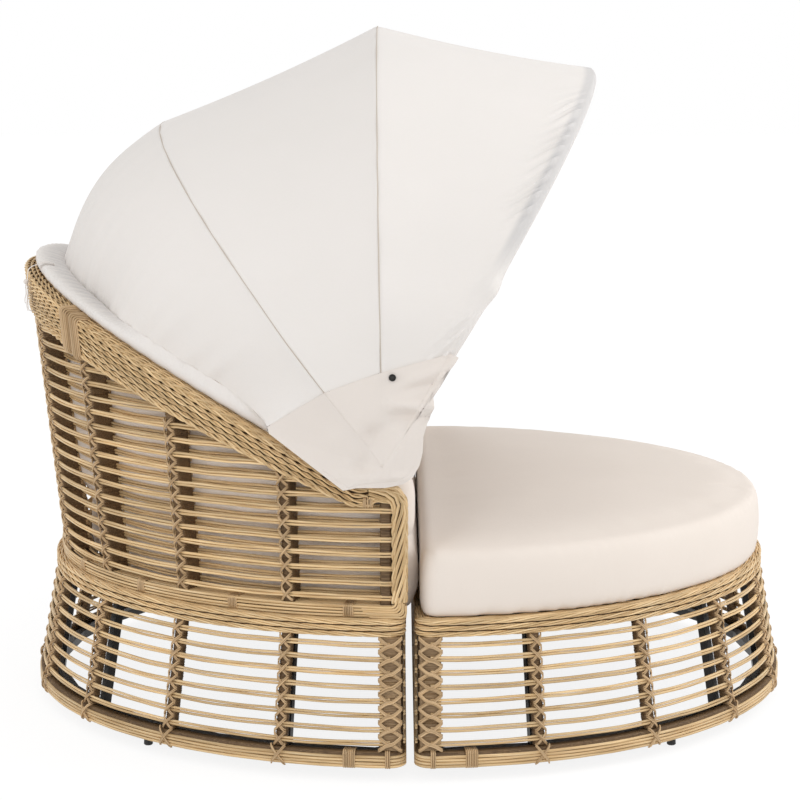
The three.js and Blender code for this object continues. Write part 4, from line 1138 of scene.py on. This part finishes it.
def rear_ruffle():
    """A gathered strip that holds the hem rod and lies inside the rim."""
    q = np.linspace(0, 1, 1561)
    turns, phase, side = hem_places(q)
    far = np.linspace(0, 1, len(RUFFLE))
    share = np.linspace(0, 1, 19)
    back, end = ([np.interp(share, far, np.array(p)[:, i]) for i in (0, 1)] for p in (RUFFLE, SIDE_RUFFLE))
    inset, up = (back[i][:, None] * (1 - side) + end[i][:, None] * side for i in (0, 1))
    slope = unit(np.stack([np.gradient(inset, axis=0), np.gradient(up, axis=0)], axis=-1))
    amount = smoothstep(share, 0.10, 0.45) * (1 - 0.5 * smoothstep(share, 0.85, 1.0))
    amount = amount[:, None] * (0.0050 - 0.0044 * side)
    pleat = pleats(phase) * (0.75 + 0.25 * np.sin(0.31 * phase + 1))
    lift = amount * pleat + 0.0005 * np.sin(phase * 0.17 + 3 * share[:, None])
    grid = on_wall(BACK_WALL, turns[None], rim_top(turns) + up + slope[..., 0] * lift,
                   -inset + slope[..., 1] * lift)
    grid = grid + (hem_line(q) - grid[-1])[None] * (share ** 3)[:, None, None]
    # Painted shade: the ruffle greys towards the panel, most in its pleats' valleys and less at the sides
    grey = smoothstep(share, 0.40, 0.7)[:, None] * (1 - 0.75 * pleat) * (1 - side)
    made = cloth_piece("canopy_hem_ruffle", grid, CLOTH * 0.6, grey)
    dress(made, "loveseat")


def rear_panel():
    """Starts at the hem's ruffle, and domes up to the rear bow."""
    q = np.linspace(0, 1, 641)
    _, phase, side = hem_places(q)
    start, top = hem_line(q), REAR_BOW.seam(q, ahead=-SEAM_GAP)
    share = dense_ends(42, 0.012)
    length = np.linalg.norm(top - start, axis=1).mean()
    far = share[:, None] * length
    dome = DOME * np.sin(math.pi * share)[:, None] * smoothstep(0.5 - np.abs(q - 0.5), 0.0, 0.32)
    fade = (0.0014 - 0.0011 * side) * np.exp(-far / 0.030) * (2 * pleats(phase) + 0.3)
    slow = 0.0022 * np.exp(-far / 0.13) * np.sin(phase / 7.3 + 0.6 * np.sin(phase / 17))
    lift = dome + fade + slow + seam_dip(length - far) + soft_puckers(q, share, 0.0008, 90, 1.0)
    grid = raised(spread(start, top, share, 0), lift)
    return cloth_piece("canopy_cloth_rear", grid, node="canopy_panel_rear")


def middle_panel():
    q = np.linspace(0, 1, 241)
    share = dense_ends(44, 0.015)
    grid = spread(REAR_BOW.seam(q, ahead=SEAM_GAP), MIDDLE_BOW.seam(q, ahead=-SEAM_GAP), share)
    dip = seam_dip(np.minimum(share, 1 - share) * 0.55)[:, None]
    grid = raised(grid, soft_puckers(q, share, 0.0010, 80, 0.3) + dip)
    return cloth_piece("canopy_cloth_middle", grid, node="canopy_panel_middle")


CASING_TURN = math.radians(250)  # how far the front casing goes round its bow
# How grey the casing is painted, as shade over the front bow's tube
CASING_GREY = 0.75
LUMP = (1.012, 0.024, 0.0105)  # height, reach and size of the casing's lump over the flap


def front_panel():
    """Ends in a gathered casing that goes round the front bow."""
    q = np.linspace(0, 1, 441)
    share = np.concatenate([dense_ends(48, 0.012)[:42], np.linspace(0.835, 1, 38)])
    start, end = MIDDLE_BOW.seam(q, ahead=SEAM_GAP), FRONT_BOW.seam(q)
    point, out, ahead = FRONT_BOW.frame(FRONT_BOW.turns(q))
    far = distances(point)
    long = np.linalg.norm(end - start, axis=1)
    back = (1 - share)[:, None] * long[None]
    z = point[:, 2]
    upper = smoothstep(z, 1.395, 1.345) * smoothstep(z, 1.11, 1.17)
    foot = smoothstep(z, 0.985, 0.93)
    amount = 0.0004 + 0.0060 * upper + 0.0036 * foot
    half = np.minimum(far, far[-1] - far)
    phase = 2 * math.pi * half / 0.047 + 1.3 * np.sin(half * 13) + 0.9 * np.sin(half * 31 + 2)
    leaning = phase[None] + 165.0 * back
    wave = np.maximum(-0.35, np.sin(leaning)) + 0.25 * np.sin(2.3 * leaning + 1.1)
    ramp = smoothstep(back, 0.0, 0.012) * bell(back, 0.040)
    lump = LUMP[2] * bell(z - LUMP[0], LUMP[1])
    lift = amount * ramp * (wave + 0.6) + lump * bell(back, 0.022)
    lift = lift + seam_dip(share[:, None] * long) + soft_puckers(q, share, 0.0008, 70, 2.0)
    grid = raised(spread(start, end, share), lift)
    # Painted shade: the casing greys where it wraps the bow's tube, and the gathers grey in their troughs
    band = CASING_GREY * smoothstep(z, 1.02, 1.12)
    grey = band * smoothstep(back, 0.026, 0.010) + 0.35 * upper * ramp * smoothstep(wave, 0.1, -0.35)
    rows, shades = [], []
    for angle in np.linspace(0, CASING_TURN, 13)[1:]:
        way = math.cos(angle) * out + math.sin(angle) * ahead
        fade = max(0.3, 1 - angle / CASING_TURN)
        rows.append(point + way * (CLOTH_LIFT + lump * fade)[:, None])
        # Painted shade on the casing's turn round the tube
        shades.append(band * smoothstep(angle, 1.5, 0.6))
    grid, grey = np.vstack([grid, rows]), np.vstack([grey, shades])
    return cloth_piece("canopy_cloth_front", grid, painted_shade=grey, node="canopy_panel_front")


def piping(name, bow, body):
    """A thin sewn cord over a seam between two panels."""
    b = Builder()
    path = bow.seam(np.linspace(0, 1, 200), CLOTH_LIFT - 0.0013)
    b.tube(path, 0.0012, bow.frame(np.array([1.0]))[2], sides=8)
    dress(b.finish("canopy_piping_" + name, THREAD), body)


# The flap's outline round the pivot, as x and z from the pivot line and the side
FLAP_HEM_END = (-0.2330, 0.0730, 0.7640)
FLAP_FREE_EDGE = [
    (0.1505, 0.2180, 0.7860), (0.1330, 0.1900, 0.7930), (0.1130, 0.1600, 0.7990),
    (0.1010, 0.1400, 0.8010), (0.1030, 0.1200, 0.8020), (0.0895, 0.0880, 0.8060),
    (0.0815, 0.0610, 0.8070), (0.0800, 0.0290, 0.8070), (0.0736, 0.0020, 0.8065),
    (0.0610, -0.0210, 0.8060), (0.0400, -0.0360, 0.8070), (0.0040, -0.0430, 0.8100),
    (-0.0540, -0.0430, 0.8130), (-0.0800, -0.0480, 0.8140), (-0.2290, 0.0590, 0.7640),
]
FLAP_HEART = 0.8125  # side of the cloth over the pivot bolt
FLAP_HEM = 0.011

# Soft folds of the flap: both ends from the pivot as x and z, half width, height over the cloth
FLAP_FOLDS = [
    ((0.034, 0.124), (0.125, 0.116), 0.010, 0.0100),
    ((0.030, 0.103), (0.120, 0.097), 0.009, -0.0060),
    ((0.070, 0.176), (0.150, 0.206), 0.009, 0.0060),
    ((0.060, 0.156), (0.130, 0.170), 0.008, -0.0050),
    ((-0.036, -0.005), (-0.020, 0.062), 0.024, -0.0110),
    ((-0.020, 0.062), (0.050, 0.100), 0.020, -0.0060),
    ((0.018, -0.010), (0.034, 0.060), 0.014, 0.0050),
    ((-0.090, 0.050), (-0.060, 0.020), 0.026, 0.0040),
    ((-0.075, -0.020), (0.045, -0.022), 0.010, 0.0035),
]


def flap_outline():
    ends = []
    for bow in BOWS.values():
        x, y, z = bow.seam(np.array([0.0]))[0] - PIVOT
        ends.append((x, z, SEAM_GAP - y))
    return [FLAP_HEM_END, *ends, *FLAP_FREE_EDGE, FLAP_HEM_END]


def ridge(x, z, fold):
    """Height of one soft fold, which fades out past its ends."""
    (x0, z0), (x1, z1), half, height = fold
    long = math.hypot(x1 - x0, z1 - z0)
    ux, uz = (x1 - x0) / long, (z1 - z0) / long
    along = (x - x0) * ux + (z - z0) * uz
    aside = (x - x0) * uz - (z - z0) * ux
    past = np.maximum(0, np.maximum(-along, along - long))
    return height * bell(aside, half) * bell(past, 0.020)


def flap_edge(angle):
    """Reach and side of the flap's edge in a direction from the pivot."""
    corners = flap_outline()
    way = np.array([math.cos(angle), math.sin(angle)])
    for a, b in zip(corners, corners[1:]):
        edge = np.array([b[0] - a[0], b[1] - a[1]])
        det = way[1] * edge[0] - way[0] * edge[1]
        if abs(det) < 1e-12:
            continue
        reach = (a[1] * edge[0] - a[0] * edge[1]) / det
        share = (way[0] * a[1] - way[1] * a[0]) / det
        if reach > 0 and -1e-6 <= share <= 1 + 1e-6:
            return reach, a[2] + (b[2] - a[2]) * share
    return 0.01, FLAP_HEART


def flap_piece(place, side_name, first, last, mirror):
    """A sector of the flap round the pivot, between two directions in degrees."""
    turn = 2 * math.pi
    angles = np.radians(np.linspace(first, last, max(24, int((last - first) / 1.4))))
    corners = [math.atan2(z, x) % turn + k * turn for x, z, _ in flap_outline() for k in (-1, 0, 1)]
    extra = [a for a in corners if angles[0] + 0.004 < a < angles[-1] - 0.004]
    angles = np.unique(np.round(np.concatenate([angles, extra]), 6))
    edge, edge_side = np.array([flap_edge(a % turn) for a in angles]).T
    part = np.concatenate([[0.0], np.linspace(0.03, 0.93, 60), [0.945, 0.96, 0.98, 1.0]])[:, None]
    x, z = edge * part * np.cos(angles), edge * part * np.sin(angles)
    side = FLAP_HEART + (edge_side - FLAP_HEART) * part ** 1.35
    sewn = smoothstep(-z + 0.9 * (x - FLAP_HEM_END[0]) + FLAP_HEM_END[1] + 0.05, 0.0, 0.10)
    for fold in FLAP_FOLDS:
        side = side + ridge(x, z, fold) * np.minimum(1, sewn + 0.3)
    if place == "middle":
        side = side - 0.0010 * (angles > math.radians(last) - 0.012)
    hem = bell(edge * (1 - part) - FLAP_HEM, 0.002)
    side = side - 0.0010 * hem * (angles % turn > 3.2)
    b = Builder()
    b.sheet(PIVOT + np.stack([x, side if mirror else -side, z], axis=-1), CLOTH, turned=not mirror)
    node = "canopy_flap_" + side_name if place == "rear" else None
    return b.finish("side_flap_" + place + "_" + side_name, FLAP, node=node)


def cross(made):
    """Bakes a piece's placement into its mesh."""
    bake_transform(made)


def revolve(b, centre, axis, u, profile, sides=28):
    """A turned form from radius and height pairs, starting and ending on the axis' line."""
    centre, axis, u = (np.asarray(v, float) for v in (centre, axis, u))
    angle = 2 * math.pi * np.arange(sides)[:, None] / sides
    round_it = np.cos(angle) * u + np.sin(angle) * np.cross(axis, u)
    b.rings([centre + h * axis + r * round_it for r, h in profile])


STUD_PLACE = (0.0195, 0.1785)
STUD_SIDE = 0.7975
STUD_PROFILE = [
    (0.0030, -0.002), (0.0070, -0.002), (0.0074, 0.0004), (0.0070, 0.0019), (0.0062, 0.0025),
    (0.0054, 0.0020), (0.0049, 0.0016), (0.0041, 0.0025), (0.0027, 0.0032), (0.0010, 0.0036),
]


def stud(side, mirror):
    """A black snap fastener: a domed cap in a rolled ring."""
    b = Builder()
    sign = 1 if mirror else -1
    centre = PIVOT + [STUD_PLACE[0], sign * STUD_SIDE, STUD_PLACE[1]]
    revolve(b, centre, (0, sign, 0), (1, 0, 0), STUD_PROFILE)
    made = b.finish("flap_stud_" + side, STEEL)
    cross(made)


TAPE_HALF = 0.0045
TAPE = 0.0008
TAPE_LOOP = np.array([
    (-RIM_DEPTH - 0.003, -REAR_RIM - 0.002), (-RIM_DEPTH - 0.0035, -0.040), (-RIM_DEPTH - 0.003, 0.004),
    (-0.042, 0.012), (-0.030, 0.0140), (-0.016, 0.010), (0.004, 0.003), (0.0112, -0.010),
    (0.0114, -0.050), (0.0110, -REAR_RIM - 0.002), (-0.010, -REAR_RIM - 0.004),
    (-0.030, -REAR_RIM - 0.004),
])  # out of the wall and up from the rim's top
TAPE_TAILS = ((-0.020, 0.062, -0.002), (0.016, 0.050, 0.002))  # lean, drop and start
KNOT = [(0.001, -0.0050), (0.0045, -0.0040), (0.0058, 0.0), (0.0045, 0.0040), (0.001, 0.0050)]


def tape_loop(turn):
    """A tape that ties the hem rod to the rear rim: a loop round both, with a knot and two tails."""
    b = Builder()
    out, along = outward(turn), np.array([-math.cos(turn), math.sin(turn), 0.0])
    foot = on_wall(BACK_WALL, turn, BACK_HEIGHT, 0.0)
    wide = np.linspace(-TAPE_HALF, TAPE_HALF, 4)
    grid = [[foot + o * out + [0, 0, u] + w * along for w in wide] for o, u in closed_curve(TAPE_LOOP, 72)]
    strip(b, np.array(grid), closed=True)
    for lean, drop, start in TAPE_TAILS:
        rows = []
        for t in np.linspace(0, 1, 12):
            middle = foot + (0.0135 + 0.003 * math.sin(2.6 * t)) * out + [0, 0, -0.030 - drop * t]
            rows.append([middle + (start + lean * t ** 1.5 + w) * along + 0.0015 * math.sin(9 * t) * out
                         for w in wide])
        strip(b, np.array(rows))
    revolve(b, foot + 0.0155 * out + [0, 0, -0.029], along, out, KNOT, 16)
    made = b.finish("rim_tie_%d" % round(math.degrees(turn)), FLAP)
    dress(made, "loveseat")


def closed_curve(points, count):
    """A smooth closed curve near the points, evenly spaced."""
    n = len(points)
    t = np.arange(count * 4) * n / (count * 4)
    i = t.astype(int)
    f = (t - i)[:, None]
    a, b, c, d = (points[(i + k) % n] for k in (-1, 0, 1, 2))
    bend = (2 * a - 5 * b + 4 * c - d) * f ** 2 + (3 * b - a - 3 * c + d) * f ** 3
    return evenly(0.5 * (2 * b + (c - a) * f + bend), count)[0]


def strip(b, rows, closed=False):
    """A tape with thickness from rows of points across it."""
    ahead, behind = neighbours(rows, closed)
    normal = unit(np.cross((ahead - behind).mean(axis=1), rows[:, -1] - rows[:, 0]))[:, None]
    ring = np.concatenate([rows + normal * TAPE / 2, (rows - normal * TAPE / 2)[:, ::-1]], axis=1)
    quads = tube_quads(*ring.shape[:2], closed)
    points = ring.reshape(-1, 3)
    if signed_volume(points - points.mean(axis=0), quads) < 0:
        quads = quads[:, ::-1]
    b.add(ring, quads)


# First and last direction in degrees of each sector of the flap
FLAP_SECTORS = {"rear": (127.8, 270), "middle": (91.1, 128.3), "front": (-90, 91.1)}
TAPE_TURNS = (73, 107)


def canopy():
    for place, bow in BOWS.items():
        dress(bow_piece("canopy_bow_" + place, bow), place + "_bow")
    panels = {"rear": rear_panel(), "middle": middle_panel(), "front": front_panel()}
    rear_ruffle()
    piping("rear", REAR_BOW, "rear_bow")
    piping("middle", MIDDLE_BOW, "middle_bow")
    for place, made in panels.items():
        cross(made)
    for side, mirror in (("right", False), ("left", True)):
        for place, (first, last) in FLAP_SECTORS.items():
            made = flap_piece(place, side, first, last, mirror)
            cross(made)
        stud(side, mirror)
    for turn in TAPE_TURNS:
        tape_loop(math.radians(turn))


# Cushions

PAD_CAP = 0.014
PAD_END = 0.012  # how far the side pads reach past the gap's middle
PAD_LEVEL = 0.6  # height at which the back pads' lengths are measured
PAD_DEPTH = 0.125
OTTOMAN_PAD = float(half_length(BASE_WALL, BASE_HEIGHT)) + 0.005  # just inside the braid's face
CLOTH_FRAMES = 20


def oval_half(x, y):
    """Half length of the oval, with the units' side inset, that goes through a point."""
    half = np.hypot(x, np.abs(y) + SIDE_INSET * 0.8)
    for _ in range(12):
        f = (x / half) ** 2 + (y / (half - SIDE_INSET)) ** 2 - 1
        slope = -2 * x ** 2 / half ** 3 - 2 * y ** 2 / (half - SIDE_INSET) ** 3
        half = np.maximum(half - f / slope, SIDE_INSET * 2)
    return half


def set_half(at, half, wanted):
    at[:, 0] *= wanted / half
    at[:, 1] *= (wanted - SIDE_INSET) / (half - SIDE_INSET)


def vectors(items, field):
    """The vectors of a mesh's points as an array."""
    flat = np.empty(len(items) * 3, np.float32)
    items.foreach_get(field, flat)
    return flat.reshape(-1, 3)


def move_to(mesh, at):
    mesh.vertices.foreach_set("co", at.astype(np.float32).ravel())
    mesh.update()


def applied(made, kind, **settings):
    """Adds a modifier to the active object and applies it."""
    modifier = made.modifiers.new(kind.lower(), kind)
    for key, value in settings.items():
        setattr(modifier, key, value)
    bpy.ops.object.modifier_apply(modifier=modifier.name)


def pad(name, rings, seat_it, node, body="loveseat", voxel=0.018):
    """A crowned form blown up a little by a cloth simulation and set back on what carries it."""
    b = Builder()
    b.rings(rings)
    made = b.finish(name, CUSHION)
    bpy.context.view_layer.objects.active = made
    made.select_set(True)
    applied(made, "REMESH", mode="VOXEL", voxel_size=voxel)
    blow_up(made, vectors(made.data.vertices, "co").astype(float))
    applied(made, "SMOOTH", iterations=2)
    move_to(made.data, seat_it(vectors(made.data.vertices, "co").astype(float)))
    applied(made, "SUBSURF", levels=1, render_levels=1)
    made.data.shade_smooth()
    made.select_set(False)
    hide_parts(node)
    dress(made, body)


def box_middle(at):
    return np.mean([at.min(axis=0), at.max(axis=0)], axis=0)


def blow_up(made, rest):
    """Cloth under pressure. Points only move outwards, no further than the cap."""
    cloth = made.modifiers.new("cloth", "CLOTH")
    cloth.settings.use_pressure = True
    cloth.settings.uniform_pressure_force = 4.0
    cloth.settings.effector_weights.gravity = 0
    cloth.settings.tension_stiffness = cloth.settings.compression_stiffness = 15
    cloth.settings.bending_stiffness = 2.0
    cloth.point_cache.frame_start, cloth.point_cache.frame_end = 1, CLOTH_FRAMES
    scene = bpy.context.scene
    for step in range(1, CLOTH_FRAMES + 1):
        scene.frame_set(step)
    held = made.evaluated_get(bpy.context.evaluated_depsgraph_get())
    blown = vectors(held.data.vertices, "co")
    move = blown + (box_middle(rest) - box_middle(blown)) * [1, 1, 0] - rest
    normals = vectors(made.data.vertex_normals, "vector")
    move = move - np.minimum(0.0, np.sum(move * normals, axis=1, keepdims=True)) * normals
    long = np.linalg.norm(move, axis=1, keepdims=True)
    move = move * np.minimum(1.0, PAD_CAP / np.maximum(long, 1e-9))
    made.modifiers.remove(cloth)
    move_to(made.data, rest + move)
    scene.frame_set(1)


def d_cushion(name, half, flat, reach, flip, node, body):
    """Box cushion with a D outline: bulged sides, soft edges and a low crown. Its flat side
    bulges as far as a reach."""
    low, high = BASE_HEIGHT + 0.0008, CUSHION_TOP
    under, over, bulge, crown = 0.007, 0.024, 0.004, 0.010
    profile = []
    for angle in np.radians(np.linspace(-90, 0, 5)):
        profile.append((under * (1 - math.cos(angle)), low + under * (1 + math.sin(angle))))
    for share in np.linspace(0, 1, 8)[1:-1]:
        z = low + under + (high - low - under - over) * share
        profile.append((-bulge * math.sin(math.pi * share), z))
    for angle in np.radians(np.linspace(0, 90, 6)):
        profile.append((over * (1 - math.cos(angle)), high - over * (1 - math.sin(angle))))
    rings = []
    for inset, z in profile:
        out = (flat - reach) * math.sin(math.pi * (z - low) / (high - low)) * 0.9
        line = d_outline(half - 0.005 - inset, flat + inset + 0.002 - out, count=200)[0]
        rings.append(np.column_stack([line, np.full(len(line), z)]))

    def inwards(line, share, rise):
        line = line.copy()
        line[:, 0] += (-half / 2 - line[:, 0]) * share
        line[:, 1] *= 1 - share
        line[:, 2] += rise
        return line
    top = [inwards(rings[-1], share, crown * float(smoothstep(share, 0, 0.8)))
           for share in (0.12, 0.3, 0.5, 0.7, 0.88)]
    below = [inwards(rings[0], share, 0) for share in (0.88, 0.5, 0.2)]
    rings = np.array(below + rings + top)
    if flip:
        rings = rings[:, ::-1] * [-1, 1, 1]

    def seat_it(at):
        long = oval_half(at[:, 0], at[:, 1])
        set_half(at, long, np.minimum(long, half + 0.001))
        at[:, 2] = np.maximum(at[:, 2], BASE_HEIGHT + 0.0005)
        at[:, 0] = np.maximum(at[:, 0], reach) if flip else np.minimum(at[:, 0], -reach)
        return at
    pad(name, rings, seat_it, node, body, 0.014)


def back_cushion(name, first, last, node, mirror=False):
    """A plump pad that leans on the wall, with its ends and top drawn in."""
    bottom = CUSHION_TOP + 0.0035
    face = POST_PROUD - BACK_POST_DEPTH - 0.0012
    middle = face - PAD_DEPTH / 2 - 0.002
    rings = []
    for turn in np.linspace(first, last, 41):
        far = min(turn - first, last - turn)
        reach = float(far / turn_of(BACK_WALL, turn, PAD_LEVEL, 1.0))
        pull = 0.034 * (1 - math.sqrt(max(0.0, 1 - (1 - min(1, reach / 0.045)) ** 2)))
        top = 0.640 + 0.220 * float(back_share(turn)) - 0.008
        wide = PAD_DEPTH - 2 * pull - 0.010
        section, _ = rounded_box(wide, bottom + 0.002 + pull * 0.3, top - pull, 0.026, 6)
        rings.append(on_wall(BACK_WALL, sided(turn, mirror), section[:, 1], middle + section[:, 0]))
    rings = np.array(rings)
    if not mirror:
        rings = rings[:, ::-1]

    def seat_it(at):
        long = oval_half(at[:, 0], at[:, 1])
        most = half_length(BACK_WALL, at[:, 2]) + face + 0.0008
        set_half(at, long, np.minimum(long, most))
        at[:, 2] = np.maximum(at[:, 2], bottom)
        low = np.clip(1 - (at[:, 2] - bottom) / 0.15, 0, 1)
        at[:, 0] = np.minimum(at[:, 0], 0.006 + 0.014 * low)
        sign = 1 if mirror else -1
        turn = np.arctan2(-at[:, 0] / long, at[:, 1] * sign / (long - SIDE_INSET))
        wide = turn_of(BACK_WALL, turn, PAD_LEVEL, 1.0)
        over = np.maximum(0, first - turn) / wide - np.maximum(0, turn - last) / wide
        at[:, :2] += over[:, None] * np.stack([-np.cos(turn), -sign * np.sin(turn)], axis=1)
        return at
    pad(name, rings, seat_it, node)


def cushions():
    d_cushion("seat_pad", 0.752, -0.006, -0.0180, False, "seat_cushion", "loveseat")
    d_cushion("ottoman_pad", OTTOMAN_PAD, 0.020, 0.0195, True, "ottoman_cushion", "ottoman")
    split = COLLAR_TURN + math.radians(2)
    joint = float(turn_of(BACK_WALL, split, CUSHION_TOP, 0.002))
    start = math.asin(-PAD_END / half_length(BACK_WALL, CUSHION_TOP))
    back_cushion("back_pad_rear", split + joint, math.pi - split - joint, "back_cushion_rear")
    back_cushion("back_pad_right", start, split - joint, "back_cushion_right")
    back_cushion("back_pad_left", start, split - joint, "back_cushion_left", True)


def carried_over():
    """Materials of the frame's own nodes that stay in view."""
    for node, made in frame["nodes"].items():
        if "_foot_" in node:
            material = GLIDE
        elif node.endswith("_frame") or node.startswith("pivot_") or node == "canopy_hem_rod":
            material = STEEL
        else:
            continue
        made.data.materials.clear()
        made.data.materials.append(material)


# Camera, floor, light


def camera():
    data = bpy.data.cameras.new("camera")
    data.sensor_width = 36
    data.lens = 99.1
    made = bpy.data.objects.new("camera", data)
    made.location = (-0.0213, -5.1443, 1.5037)
    made.rotation_euler = (math.radians(90 - 9.28), 0, 0)
    bpy.context.scene.collection.objects.link(made)
    bpy.context.scene.camera = made


def lamp(name, place, size, power):
    data = bpy.data.lights.new(name, "AREA")
    data.size = size
    data.energy = power
    made = bpy.data.objects.new(name, data)
    made.location = place
    made.rotation_euler = (Vector((-0.1, 0, 0.6)) - Vector(place)).to_track_quat("-Z", "Y").to_euler()
    bpy.context.scene.collection.objects.link(made)


def shown_white(m):
    """1 where the camera, a gloss ray or a transmission ray sees the surface, and 0 elsewhere."""
    path = m.new("LightPath").outputs
    seen = m.calculate("MAXIMUM", path["Is Camera Ray"], path["Is Glossy Ray"])
    return m.calculate("MAXIMUM", seen, path["Is Transmission Ray"])


def floor():
    bpy.ops.mesh.primitive_plane_add(size=60)
    plane = bpy.context.object
    plane.name = "floor"
    m = Nodes(bpy.data.materials.new("floor_paint"))
    white = shown_white(m)
    tone = m.ramp(m.noise(m.place(), 0.4), [(0.0, (0.80, 0.80, 0.80)), (1.0, (0.84, 0.84, 0.84))])
    plane.data.materials.append(m.shade({
        "Base Color": m.mix(white, tone, (0.17, 0.17, 0.17)),
        "Roughness": 0.9,
        "Specular IOR Level": 0.1,
        "Emission Color": (1, 1, 1, 1),
        "Emission Strength": m.calculate("MULTIPLY", white, 0.86),
    }))


def world():
    made = bpy.data.worlds.new("world")
    bpy.context.scene.world = made
    m = Nodes(made, "Background")
    m.shade({"Color": (1, 1, 1, 1), "Strength": m.range(shown_white(m), 0.80, 1.0)})


woven_work()
canopy()
cushions()
carried_over()
camera()
floor()
world()
lamp("key", (1.0, -4.4, 2.4), 3.0, 24)
lamp("fill", (-3.4, -2.6, 2.0), 2.8, 26)
lamp("side", (3.6, -0.4, 3.0), 2.4, 58)
bpy.context.scene.view_settings.view_transform = "Standard"
